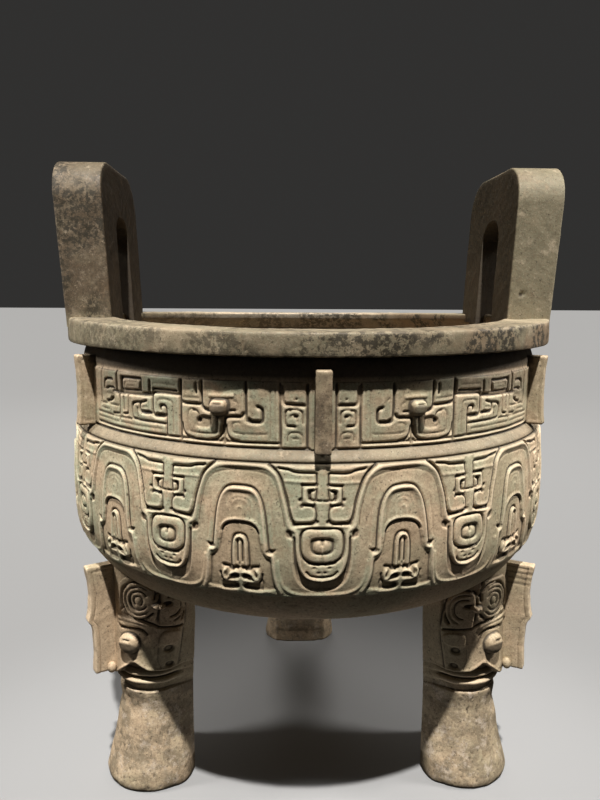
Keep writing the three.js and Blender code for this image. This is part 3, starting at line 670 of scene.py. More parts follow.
def belly_sector(name, start, end, step_s, step_z, material):
    """Part of the wave band, as a thin closed shell set into the bowl."""
    columns = max(2, round(math.radians(end - start) * BELLY_R / step_s))
    angles = np.linspace(start, end, columns + 1)
    z = np.arange(BAND_LOW_Z - 3.5, BAND_HIGH_Z + 1.2, step_z)
    a, zz = np.meshgrid(angles, z)
    length = np.radians(1) * BELLY_R
    in_wave = a % WAVE_PERIOD
    s = np.minimum(in_wave, WAVE_PERIOD - in_wave) * length
    u = a * length
    fade = np.sin(np.pi * np.clip(s / WAVE_HALF, 0, 1))
    s_read = s + 1.1 * fade * wander(u, zz)
    z_read = zz + 0.9 * wander_up(u, zz) * smoothstep((zz - 376) / 12) * smoothstep((546 - zz) / 12)
    height = WAVES.read(WAVES.height, s_read, z_read)
    opened = WAVES.read(WAVES.open, s_read, z_read)
    height = height * (1 - 0.06 * wear(u, zz)) + 0.12 * wear(u + 900, zz)
    tuck = smoothstep((BAND_LOW_Z - zz) / 2.6) + smoothstep((zz - BAND_HIGH_Z + 0.4) / 1.4)
    height = height * (1 - tuck) - (BURIED - 1.0) * tuck
    profile = np.stack([bowl_radius(z), z], 1)
    outward = lifted(profile, 1.0) - profile
    radius = profile[:, :1] + height * outward[:, :1]
    up = profile[:, 1:] + height * outward[:, 1:]
    outer = polar(radius, a, up)
    back_z = np.linspace(z[-1], z[0], 9)
    back = lifted(np.stack([bowl_radius(back_z), back_z], 1)[::-1], -6.0)[::-1]
    inner = polar(back[:, :1], angles[None, :], back[:, 1:])
    skin = np.concatenate([outer, inner])
    hidden = np.zeros(inner.shape[:2])
    marks = dict(open=np.concatenate([opened, hidden]), raised=np.concatenate([height, hidden]))
    return piece(name, [dict(points=skin, around=False, along=True, **marks)], material)


def neck_columns():
    """Angles round the neck, closer together at the front."""
    front = np.arange(-66, 66, 1.36 / 6.222)
    back = np.linspace(66, 294, 480)[:-1]
    return np.concatenate([front, back])


def neck_band(material):
    """The mask band and the fillet under it, a closed ring set into the neck."""
    angles = neck_columns()
    fillet = [(362.5, 543.4), (367.2, 544.6), (368.6, 546.0), (368.4, 547.6), (366.9, 550.0), (364.6, 552.6)]
    fillet += [(362.0, 555.0), (359.8, 556.8), (358.3, 558.0)]
    band_z = np.arange(559.0, 646.1, 1.42)
    above = [(NECK_R, 650.0), (NECK_R - 1.5, 655.0), (NECK_R - 4.0, 662.0), (NECK_R - 5.5, 668.0)]
    a, zz = np.meshgrid(angles, band_z)
    in_mask = (a + MASK_SPAN) % (2 * MASK_SPAN) - MASK_SPAN
    length = np.radians(1) * NECK_R
    s = np.abs(in_mask) * length
    shift = np.where(in_mask < 0, 6.5 * np.sin(np.pi * np.clip(s / 270, 0, 1)), 0)
    u = a * length
    fade = smoothstep((s - 14) / 20)
    s_read = s - shift + 0.9 * fade * wander(u + 3000, zz)
    z_read = zz + 0.7 * wander_up(u + 3000, zz) * smoothstep((zz - 559) / 12)
    height = MASKS.read(MASKS.height, s_read, z_read)
    opened = MASKS.read(MASKS.open, s_read, z_read)
    height = height * (1 - 0.06 * wear(u + 3000, zz)) + 0.1 * wear(u + 3900, zz)
    plain = smoothstep((zz - 638.5) / 2.5)
    height = height * (1 - plain) + 0.3 * plain
    rings = [polar(r, angles, z) for r, z in fillet]
    rings += list(polar(NECK_R + height, a, zz))
    rings += [polar(r, angles, z) for r, z in above]
    hidden = [(NECK_R - 8.0, 667.0), (NECK_R - 7.0, 640.0), (NECK_R - 7.0, 562.0), (360.0, 543.0)]
    rings += [polar(r, angles, z) for r, z in hidden]
    rings = np.stack(rings)
    marks = dict(open=np.zeros(rings.shape[:2]), raised=np.zeros(rings.shape[:2]))
    marks["open"][len(fillet) : len(fillet) + len(band_z)] = opened
    marks["raised"][len(fillet) : len(fillet) + len(band_z)] = height
    # Painted shade: a dark line along the crease where the fillet meets the band
    marks["open"][len(fillet) - 1 : len(fillet) + 1] = -1.1
    return piece("neck_band", [dict(points=rings, around=True, along=True, **marks)], material)


def core_profile():
    """Outside and inside of the plain bowl: radius, height, and the share of the rim's rise it takes."""
    rows = []
    rows += [(r, float(dome_height(r)), 0) for r in np.linspace(3, DOME_EDGE_R, 13)]
    rows += [(r, float(belly_height(r)), 0) for r in (304, 312, 320, 328, 336, 343, 349, 354.5, 359, 362.2)]
    rows += [(float(bowl_radius(z)), z, 0) for z in (378.0, 380.5)]
    sunk = [(float(bowl_radius(z)) - BURIED, z, 0) for z in (382.0, 400, 430, 456, 490, 520, 545)]
    rows += sunk
    rows += [(360.0, 552, 0), (NECK_R - 4.0, 562, 0), (NECK_R - 4.0, 640, 0), (NECK_R - 7.5, 664, 0)]
    rows += [(NECK_R - 7.0, 668.6, 0), (366, 668.9, 0), (374.5, 669.0, 0), (376.8, 669.5, 0), (377.5, 671.0, 0)]
    rows += [(377.7, 675.0, 0.1), (378.0, 683.0, 0.4), (377.7, 692.0, 0.8), (377.2, 695.4, 1)]
    rows += [(376.0, 697.0, 1), (373.6, 697.9, 1), (366, 698.0, 1), (350, 697.8, 1), (330, 697.7, 1)]
    rows += [(318, 698.0, 1), (313.6, 697.8, 1), (311.8, 696.6, 1), (311.2, 694.4, 1), (311.1, 688.6, 1)]
    rows += [(311.6, 686.6, 0.9), (313.6, 685.0, 0.8), (320, 679, 0.5), (332, 660, 0), (342, 640, 0)]
    inner_wall = NECK_R - WALL
    rows += [(inner_wall, 622, 0), (inner_wall, 592, 0), (inner_wall, 566, 0), (351, 548, 0), (358, 536, 0)]
    rows += [(362, 515, 0), (364, 490, 0), (364.2, 456, 0), (363.0, 430, 0), (358.5, 400, 0), (352, 378, 0)]
    rows += [(342, 362, 0), (326, 346, 0), (308, 335, 0)]
    rows += [(r * 0.985, float(dome_height(r)) + WALL, 0) for r in np.linspace(DOME_EDGE_R - 6, 3, 12)]
    return rows


def core(material):
    """The bowl's walls, floor and rim in one closed skin."""
    angles = np.linspace(0, 360, 480, endpoint=False)
    turn = np.radians(angles)
    dents = waves(18, 120, 14, 61)
    chips = waves(22, 60, 9, 62)
    rings, marks = [], []
    for radius, z, rise in core_profile():
        length = turn * radius
        on_rim = float(RIM_BOTTOM_Z - 2 < z and radius > 310)
        uneven = (0.2 + 0.25 * on_rim) * dents(length, np.full(len(turn), 1.7 * z))
        edge = on_rim * float(z > RIM_TOP_Z - 3 or z < RIM_BOTTOM_Z + 3)
        chip = edge * np.clip(chips(length, np.full(len(turn), z)) - 1.3, 0, 1)
        side = np.sin(turn) ** 2
        outward = 1 if radius > 345 or z < RIM_BOTTOM_Z else -1
        radii = radius + uneven * (0 if 345 > radius > 316 and on_rim else 1) - 1.2 * outward * chip
        up = z + rise * RIM_RISE_AT_EARS * side + uneven * on_rim * 0.7 - 1.0 * chip * (z > RIM_TOP_Z - 3)
        rings.append(polar(np.minimum(radii, RIM_OUTER_R + 0.4), angles, up))
        marks.append(0.5 * edge * (1 - 2.4 * np.clip(chip, 0, 1)) + 0.15 * uneven)
    return piece("bowl", [dict(points=np.stack(rings), open=np.stack(marks))], material)


def bar(rows, columns_of):
    """A bar standing up: one closed loop of points for each height."""
    return np.stack([columns_of(z) for z in rows])


def neck_flange(degrees, seed):
    """A square-edged flange with a hollow outer face and an incised border on its sides."""
    middle = (FLANGE_LOW_Z + FLANGE_HIGH_Z) / 2
    reach = (FLANGE_HIGH_Z - FLANGE_LOW_Z) / 2
    rows = [FLANGE_LOW_Z - 1.0, FLANGE_LOW_Z - 0.4]
    rows += list(np.arange(FLANGE_LOW_Z + 1.5, FLANGE_HIGH_Z - 1.0, 2.2))
    rows += [FLANGE_HIGH_Z - 0.9, FLANGE_HIGH_Z - 0.2]
    half = FLANGE_THICK / 2
    depths = [0, 1.2, 3.6, 5.2, 6.4, 7.6, 10, 16, 22, 30]
    dents = waves(8, 40, 8, seed)
    loops = []
    for k, z in enumerate(rows):
        edge = FLANGE_R - 3.0 * (1 - ((z - middle) / reach) ** 2)
        pull = {0: 1.6, 1: 0.5, len(rows) - 2: 0.5, len(rows) - 1: 1.6}.get(k, 0)
        near_end = min(z - FLANGE_LOW_Z, FLANGE_HIGH_Z - z)
        side_points = []
        for depth in depths:
            border = 0.9 * math.exp(-(((depth - 5.4) / 1.2) ** 2)) if near_end > 6 else 0
            if 5 < near_end < 8 and 4 < depth < 20:
                border = 0.8
            side_points.append((edge - depth - (1.3 if depth else 0) * 0 - pull, half - pull - border))
        face = [(edge - pull, half - pull - 1.4), (edge - pull + 0.1, half * 0.5), (edge - pull, 0.0)]
        side_points[0] = (edge - pull - 0.5, half - pull - 0.35)
        right = side_points[::-1] + face
        left = [(r, -t) for r, t in right[::-1][1:]]
        loop = np.array(right + left)
        loop[:, 0] += 0.25 * dents(loop[:, 1] * 3, np.full(len(loop), z))
        loop[:, 1] += 0.2 * dents(loop[:, 0] * 2 + 90, np.full(len(loop), z))
        loops.append(loop)
    loops = np.stack(loops)
    out = polar(1, degrees, 0)
    aside = polar(1, degrees + 90, 0)
    points = loops[..., :1] * out + loops[..., 1:] * aside
    points[..., 2] = np.array(rows)[:, None]
    return dict(points=points, around=True, along=False)


def arch_line(half, foot, top, corner, shares):
    """Points up one side of an arch, over it and down the other side."""
    leg = top - corner - foot
    points = []
    for t in shares:
        part = int(min(t, 4.999))
        f = t - part
        if part == 0:
            points.append((-half, foot + leg * f))
        elif part == 1:
            turn = math.pi * (1 - f / 2)
            points.append((corner - half + corner * math.cos(turn), top - corner + corner * math.sin(turn)))
        elif part == 2:
            points.append((corner - half + 2 * (half - corner) * f, top))
        elif part == 3:
            turn = math.pi / 2 * (1 - f)
            points.append((half - corner + corner * math.cos(turn), top - corner + corner * math.sin(turn)))
        else:
            points.append((half, top - corner - leg * f))
    return np.array(points)


def ear_section(span, thick):
    """Rounded section of an ear: distance from its outer edge, depth from its inner face."""
    edge, slot, step = 2.6, 0.8, 0.5
    points = [(u, 0.0) for u in (*np.linspace(edge, span - slot - 6, 12), span - slot - step)]
    points += corner_points(span - slot, slot, slot, -90, 0, 4)
    wall = (slot + step, *np.linspace(slot, thick - slot, 8)[1:-1], thick - slot - step)
    points += [(span, d) for d in wall]
    points += corner_points(span - slot, thick - slot, slot, 0, 90, 4)
    outside = [span - slot - step, span - 7.5, span - 9.0, span - 10.5, *np.linspace(span - 16, 22, 9), 18.5, 17.0, 15.5]
    points += [(u, thick) for u in outside]
    points += corner_points(edge, thick - edge, edge, 90, 180, 5)
    points += [(0.0, d) for d in np.linspace(thick - edge, edge, 20)[1:-1]]
    points += corner_points(edge, edge, edge, 180, 270, 5)[:-1]
    return points


def corner_points(u, d, radius, start, end, count):
    turn = np.radians(np.linspace(start, end, count))
    return [(u + radius * math.cos(v), d + radius * math.sin(v)) for v in turn]


def ear(side, seed):
    """An upright ear: a swept section that goes up one side of the slot, over it and down the other."""
    counts = (64, 26, 26, 22)
    shares = [np.linspace(k, k + 1, count, endpoint=False) for k, count in enumerate(counts)]
    shares = np.concatenate([*shares, np.linspace(4, 5, 47)])
    outer = arch_line(EAR_HALF_WIDTH, EAR_FOOT_Z, EAR_TOP_Z, EAR_CORNER_R, shares)
    inner = arch_line(SLOT_HALF_WIDTH, EAR_FOOT_Z, SLOT_TOP_Z, SLOT_CORNER_R, shares)
    dents = waves(12, 140, 16, seed)
    rings = []
    for (oy, oz), (iy, iz) in zip(outer, inner):
        span = math.hypot(oy - iy, oz - iz)
        high = (oz - RIM_TOP_Z) / (EAR_TOP_Z - RIM_TOP_Z)
        thick = EAR_THICK[0] + (EAR_THICK[1] - EAR_THICK[0]) * high
        loop = []
        for u, depth in ear_section(span, thick):
            y, z = oy + (iy - oy) * u / span, oz + (iz - oz) * u / span
            share = (z - RIM_TOP_Z) / (EAR_TOP_Z - RIM_TOP_Z)
            near_x = EAR_INNER_X[0] + (EAR_INNER_X[1] - EAR_INNER_X[0]) * share
            bulge = EAR_HOLLOW * (1 - (y / EAR_HALF_WIDTH) ** 2)
            panel = smoothstep((u - 15.5) / 2.5) * smoothstep((span - u - 7.5) / 2.5)
            if depth > thick - 0.01:
                depth -= 3.0 * float(panel * smoothstep((z - 722) / 4))
            if u < 0.01 and y < 0 and side > 0:
                hole = math.hypot((depth - EAR_PIT[0]) / 3.4, (z - EAR_PIT[1]) / 3.4)
                y += 3.2 * float(smoothstep(1.5 - hole)) + 0.5 * math.exp(-(((z - EAR_SEAM_Z) / 1.6) ** 2))
            loop.append((near_x + bulge + depth, y, z))
        rings.append(loop)
    points = np.array(rings)
    points[..., 1] *= np.where(points[..., 1] > 0, EAR_BACK_STRETCH, 1)
    points[..., 0] += 0.18 * dents(points[..., 1], points[..., 2])
    points[..., 1] += 0.12 * dents(points[..., 0] * 1.3 + 500, points[..., 2] * 1.2)
    points[..., :2] *= side
    shade = np.zeros(points.shape[:2])
    # Painted shade: the ear's inner face darker, its slot darker still, and the last corner of the section a little
    # darker
    shade[:, :13] = -0.95
    shade[:, 13:29] = -1.25
    shade[:, -2:] = -0.5
    # Painted shade in the pit on the right ear's front edge
    if side > 0:
        pit = np.hypot(points[..., 0] - EAR_INNER_X[0] - EAR_PIT[0], points[..., 2] - EAR_PIT[1])
        shade[(pit < 3.4) & (points[..., 1] < -100)] = -1.2
    return dict(points=points, open=shade)


# Legs: height, radius of the leg's own middle from the bowl's axis, half width, half width of its flat face
LEG_ROWS = (
    (0, 283.5, 69.5, 44),
    (4, 284, 71.2, 44.5),
    (10, 284, 72, 45),
    (24, 283.2, 69.4, 45.5),
    (46, 282, 64, 46),
    (72, 281, 59.4, 46.5),
    (100, 280, 56, 47),
    (112, 279.5, 53.8, 47),
    (122, 279, 51.4, 47),
    (134, 279, 51.4, 47),
    (144, 279.3, 52.6, 47.5),
    (149.4, 279.3, 52.8, 47.8),
    (150.8, 279.3, 51.2, 48),
    (151.8, 279.3, 48.2, 48),
    (163.0, 279.3, 48.2, 49),
    (164.2, 279.4, 52.4, 49.4),
    (165.4, 279.5, 55.8, 50),
    (167, 279.5, 57.4, 50),
    (169, 279.5, 57.8, 50),
    (171, 279.5, 56.6, 50),
    (172.2, 279.4, 53.6, 50),
    (173.0, 279.3, 50.2, 50),
    (176.0, 279.2, 50.2, 50),
    (176.8, 279.1, 53.4, 50.6),
    (178.4, 279, 56.6, 51),
    (181, 279, 58.0, 51),
    (184.0, 279, 56.4, 51),
    (186.0, 279, 53.4, 51),
    (187.4, 279, 50.8, 51.4),
    (200, 276, 54, 53),
    (260, 268, 61, 58),
    (352, 267, 62, 59),
)
LEG_MASK_ROWS = ((165, 62), (188, 66), (200, 68), (215, 69), (260, 74), (352, 75))
LEG_LIP = ((0, 172), (8, 175), (16, 180), (24, 188.6), (32, 196), (36, 201), (42, 202.6), (47, 199), (51, 195.8))
LEG_LIP += ((59, 191.2), (78, 188.8), (92, 189.3), (107, 189), (125, 186), (180, 186))
LEG_FLANGE_LOW_Z = 181.0
KNOB_R = 350.0
KNOB_ASIDE = 9.5
KNOB_Z = 187.0
KNOB_SIZE = (6.8, 6.2, 8.6)
LEG_FLAT_R = 234.0
HOOF_SWELL = 11.0
LEG_TOP_Z = 352.0
LEG_FLANGE_EDGE = ((172, 374), (175, 374), (215, 372), (246, 373), (255, 374.6), (260, 377.4), (265, 381))
LEG_FLANGE_EDGE += ((267, 381), (271, 379.8), (280, 378), (302, 376), (325, 378), (340, 380.6), (347, 381.4))


def table_value(table, column, z):
    return np.interp(z, [row[0] for row in table], [row[column] for row in table])


def leg(angle, drop, step, seed, nudge):
    """A leg with its mask: loops of points from the ground up to just inside the bowl's wall."""
    arc_count = round(math.pi * 70 / step)
    around = np.linspace(-90, 90, arc_count)
    side_share = np.linspace(0, 1, round(36 / max(step, 2.0)))[1:-1]
    flat_share = np.linspace(1, -1, 9)
    rows = [[0, 0.7, 2.4], np.arange(5, 145, 2.2 if step < 2 else 4.0), np.arange(145, 206, 0.65 * step)]
    rows = np.concatenate([*rows, np.arange(206, LEG_TOP_Z + 0.1, step)])
    dents = waves(10, 90, 18, seed)
    pitting = waves(24, 22, 7, seed + 50)
    # unit directions: out from the bowl's axis, and sideways along the circle
    out, aside = polar(1, angle, 0), polar(1, angle + 90, 0)
    columns = len(around) + 2 * len(side_share) + len(flat_share)
    radial = np.zeros((len(rows), columns))
    sideways = np.zeros_like(radial)
    height = np.zeros_like(radial)
    opened = np.zeros_like(radial)
    arc_end = len(around)
    for k, row_z in enumerate(rows):
        z = np.full(columns, row_z)
        for _ in range(3):
            read_z = z + drop * smoothstep((z - 30) / 60)
            middle = table_value(LEG_ROWS, 1, read_z)
            low = table_value(LEG_ROWS, 2, read_z)
            flat = table_value(LEG_ROWS, 3, read_z)
            turn = np.zeros(columns)
            turn[:arc_end] = around
            turn[arc_end : arc_end + len(side_share)] = 90 + 34 * side_share
            turn[arc_end + len(side_share) : -len(side_share) or None] = 140
            turn[-len(side_share) :] = -124 + 34 * side_share
            lip = np.interp(np.abs(turn), [p[0] for p in LEG_LIP], [p[1] for p in LEG_LIP])
            masked = smoothstep((read_z - lip) / 2.4)
            over = np.interp(read_z, [p[0] for p in LEG_MASK_ROWS], [p[1] for p in LEG_MASK_ROWS])
            ringed = smoothstep((116 - np.abs(turn)) / 22)
            low = np.where(read_z > 161, 53.4 + (low - 53.4) * ringed, low)
            half = low + (over - low) * masked
            s = np.abs(turn) * math.radians(1) * 70
            wobble = dents(turn * 1.2, z)
            s = s - np.interp(read_z, (240, 290), nudge)
            relief = MASK_LEGS.read(MASK_LEGS.height, s + 0.6 * wobble, read_z) - 2.0
            fade = masked * smoothstep((112 - np.abs(turn)) / 12) * smoothstep((read_z - lip - 1.0) / 4)
            lip_ridge = 1.4 * np.exp(-(((read_z - lip - 4.0) / 2.4) ** 2)) * masked
            lift = relief * fade + lip_ridge * smoothstep((118 - np.abs(turn)) / 14) + 0.35 * wobble
            pits = pitting(turn * 1.2, z)
            lift -= (0.25 + 0.5 * (read_z < 148)) * np.clip(pits - 0.6, 0, 1.6)
            u = np.zeros(columns)
            v = np.zeros(columns)
            a = np.radians(turn[:arc_end])
            u[:arc_end] = middle[:arc_end] + (half + lift)[:arc_end] * np.cos(a)
            v[:arc_end] = (half + lift)[:arc_end] * np.sin(a)
            right = slice(arc_end, arc_end + len(side_share))
            u[right] = middle[right] + (LEG_FLAT_R - middle[right]) * side_share
            swell = HOOF_SWELL * (1 - smoothstep((read_z[right] - 30) / 70))
            edge = half[right] + (flat[right] - half[right]) * side_share + swell * np.sin(np.pi * side_share)
            v[right] = edge + lift[right] * (1 - side_share)
            back = slice(right.stop, right.stop + len(flat_share))
            u[back] = LEG_FLAT_R + 5.0 * np.abs(flat_share) ** 6
            v[back] = flat[back] * flat_share * (1 - 0.03 * np.abs(flat_share) ** 6)
            left = slice(back.stop, columns)
            mirror = side_share[::-1]
            u[left] = middle[left] + (LEG_FLAT_R - middle[left]) * mirror
            edge = half[left] + (flat[left] - half[left]) * mirror + swell * np.sin(np.pi * mirror)
            v[left] = -(edge + lift[left] * (1 - mirror))
            if row_z <= 240:
                break
            top = underside_height(np.clip(np.hypot(u, v) + 4.0, 0, 372)) + 4.5
            z = 240 + (row_z - 240) / (LEG_TOP_Z - 240) * (np.minimum(top, LEG_TOP_Z) - 240)
        pull = {0: 1.6, 1: 0.5}.get(k, 0.0)
        shrink = 1 - pull / 70
        radial[k] = middle + (u - middle) * shrink
        sideways[k] = v * shrink
        height[k] = z
        # Darker in a band along the lip's lower edge (painted shade under it) and in the pits of the hoof
        hollow = -1.6 * masked * (1 - masked) * 4 * (row_z > 165) - 0.9 * (row_z < 148) * np.clip(pits - 0.7, 0, 1)
        # Rings: lighter on their crests (wear), darker between them (dirt and painted shade)
        rings = low - np.interp(read_z - 3, [p[0] for p in LEG_ROWS], [p[2] for p in LEG_ROWS]) / 2
        rings -= np.interp(read_z + 3, [p[0] for p in LEG_ROWS], [p[2] for p in LEG_ROWS]) / 2
        rings *= (1 - masked) * (row_z > 145) * 0.35 * ringed
        shade = MASK_LEGS.read(MASK_LEGS.open, s, read_z) * fade
        opened[k] = np.where(shade > 0, 0.35 * shade, 0.85 * shade) + hollow + rings
    points = radial[..., None] * out + sideways[..., None] * aside
    points[..., 2] = height
    return dict(points=points, open=opened)


def knob(angle, drop, side):
    """The small ball low on the side of a leg's flange."""
    rows = np.radians(np.linspace(-88, 88, 15))
    turns = np.radians(np.linspace(0, 360, 24, endpoint=False))
    radial = KNOB_R + KNOB_SIZE[0] * np.outer(np.cos(rows), np.cos(turns))
    aside = side * (KNOB_ASIDE + KNOB_SIZE[1] * np.outer(np.cos(rows), np.sin(turns)))
    points = radial[..., None] * polar(1, angle, 0) + aside[..., None] * polar(1, angle + 90, 0)
    points[..., 2] = (KNOB_Z - drop + KNOB_SIZE[2] * np.sin(rows))[:, None]
    return dict(points=points)


def leg_flange(angle, drop, seed, ribs):
    """The upright flange down the front of a leg, with an incised line inside its outer edge."""
    rows = np.concatenate([[LEG_FLANGE_LOW_Z, LEG_FLANGE_LOW_Z + 0.8], np.arange(184, 345, 2.0), [346.2, 347]])
    half = 7.6
    depths = (0.0, 0.7, 2.4, 5.4, 6.6, 7.6, 8.6, 9.8, 16, 22, 28, 36, 46)
    # Open mark across the section: lighter on the outer edge (wear), darker in the incised line (dirt and painted
    # shade)
    shade = (0.9, 0.9, 0.6, 0.5, -0.2, -0.6, -0.2, 0, 0, 0, 0, 0, 0)
    dents = waves(8, 60, 10, seed)
    loops = []
    for k, z in enumerate(rows):
        edge = float(np.interp(z, [p[0] for p in LEG_FLANGE_EDGE], [p[1] for p in LEG_FLANGE_EDGE]))
        pull = {0: 1.2, 1: 0.4, len(rows) - 2: 0.4, len(rows) - 1: 1.2}.get(k, 0.0)
        inside = z < 340
        sides = []
        for depth in depths:
            line = 1.1 * math.exp(-(((depth - 7.6) / 1.0) ** 2)) if inside else 0.0
            if 339 < z < 342 and depth > 7:
                line = 1.0
            if ribs and z > 312:
                line += 0.7 * max(0.0, math.sin(2 * math.pi * z / 8.5))
            bevel = 0.7 if depth == 0 else 0.0
            sides.append((edge - pull - depth, half - pull - line - bevel))
        nose = [(edge - pull + 0.05, half * 0.5), (edge - pull + 0.1, 0.0)]
        right = sides[::-1] + nose
        loop = np.array(right + [(r, -t) for r, t in right[::-1][1:]])
        loop[:, 1] += 0.3 * dents(loop[:, 0] * 1.6, np.full(len(loop), z))
        loop[:, 0] += 0.3 * dents(loop[:, 1] * 3 + 70, np.full(len(loop), z))
        loops.append(loop)
    loops = np.stack(loops)
    points = loops[..., :1] * polar(1, angle, 0) + loops[..., 1:] * polar(1, angle + 90, 0)
    points[..., 2] = rows[:, None] - drop
    tone = np.array(list(shade[::-1]) + [0.8, 0.8, 0.8] + list(shade))
    tone = np.broadcast_to(tone, loops.shape[:2]).copy()
    # Darker in the grooves between the ribs: dirt and painted shade
    if ribs:
        tone -= ((rows > 312) * 0.9 * np.clip(np.sin(2 * math.pi * rows / 8.5), 0, 1))[:, None]
    return dict(points=points, open=tone)


def area_light(name, place, aim, size, power, colour=(1.0, 1.0, 1.0), size_y=None):
    light = bpy.data.lights.new(name, "AREA")
    light.size = size
    if size_y:
        light.shape = "RECTANGLE"
        light.size_y = size_y
    light.energy = power
    light.color = colour
    obj = bpy.data.objects.new(name, light)
    obj.location = place
    obj.rotation_mode = "QUATERNION"
    obj.rotation_quaternion = (Vector(aim) - Vector(place)).to_track_quat("-Z", "Y")
    obj.visible_glossy = False
    bpy.context.scene.collection.objects.link(obj)


def spot_light(name, place, aim, power):
    """A narrow lamp with a soft edge, for the sides of the neck and the legs."""
    light = bpy.data.lights.new(name, "SPOT")
    light.energy = power
    light.spot_size = math.radians(SPOT_WIDTH)
    light.spot_blend = 0.9
    light.shadow_soft_size = 0.14
    light.color = (1.0, 0.98, 0.95)
    obj = bpy.data.objects.new(name, light)
    obj.location = place
    obj.rotation_mode = "QUATERNION"
    obj.rotation_quaternion = (Vector(aim) - Vector(place)).to_track_quat("-Z", "Y")
    bpy.context.scene.collection.objects.link(obj)


def make_camera():
    """A camera at the photograph's place: 687.86 pixels of focal length on an image 800 high."""
    camera = bpy.data.cameras.new("camera")
    camera.sensor_fit = "VERTICAL"
    camera.sensor_height = 24
    camera.sensor_width = 18
    camera.lens = 687.86 / 800 * 24
    obj = bpy.data.objects.new("camera", camera)
    bpy.context.scene.collection.objects.link(obj)
    place = Vector((-0.058154, -1.147352, 0.741497))
    right = Vector((0.99921605, -0.03915485, 0.00584624))
    up = Vector((0.00027880, 0.15462980, 0.98797244))
    back = right.cross(up)
    matrix = Matrix.Identity(4)
    for row in range(3):
        matrix[row] = (right[row], up[row], back[row], place[row])
    obj.matrix_world = matrix
    bpy.context.scene.camera = obj


def make_floor():
    mesh = bpy.data.meshes.new("floor")
    mesh.from_pydata([(-30, -30, 0), (30, -30, 0), (30, 30, 0), (-30, 30, 0)], [], [(0, 1, 2, 3)])
    material = bpy.data.materials.new("floor")
    material.use_nodes = True
    shader = material.node_tree.nodes["Principled BSDF"]
    shader.inputs["Base Color"].default_value = (0.2, 0.2, 0.2, 1)
    shader.inputs["Roughness"].default_value = 0.8
    mesh.materials.append(material)
    obj = bpy.data.objects.new("floor", mesh)
    bpy.context.scene.collection.objects.link(obj)
    obj.visible_diffuse = False
    obj.visible_glossy = False


def make_light():
    """A key light from high in front, a little soft, with weak fills from the sides."""
    light = bpy.data.lights.new("key", "SUN")
    light.energy = KEY_STRENGTH
    light.angle = math.radians(KEY_SOFT)
    light.color = (1.0, 0.98, 0.95)
    obj = bpy.data.objects.new("key", light)
    obj.rotation_euler = (math.radians(90 - KEY_ELEVATION), 0, math.radians(KEY_TURN))
    bpy.context.scene.collection.objects.link(obj)
    spot_light("side_left", (-1.5, -0.2, 1.62), (-0.34, -0.17, 0.40), 114)
    spot_light("side_right", (1.5, -0.2, 1.62), (0.34, -0.17, 0.40), 122)
    area_light("left", (-2.6, -0.2, 1.2), (0, 0, 0.4), 1.4, 2.6, (1.0, 0.97, 0.93))
    area_light("right", (2.6, -0.2, 1.2), (0, 0, 0.4), 1.4, 2.6, (1.0, 0.97, 0.93))
    area_light("back", (0, 2.8, 2.3), (0, 0, 0.4), 1.6, 36, (1.0, 0.97, 0.93))
    area_light("low", (0, -0.1, 0.03), (0, -0.1, 0.5), 0.6, 0.52, (1.0, 0.97, 0.95))
    world = bpy.data.worlds.new("studio")
    world.use_nodes = True
    world.node_tree.nodes["Background"].inputs["Color"].default_value = (0.9, 0.88, 0.85, 1)
    world.node_tree.nodes["Background"].inputs["Strength"].default_value = 0.034
    bpy.context.scene.world = world
    bpy.context.scene.view_settings.view_transform = "Standard"


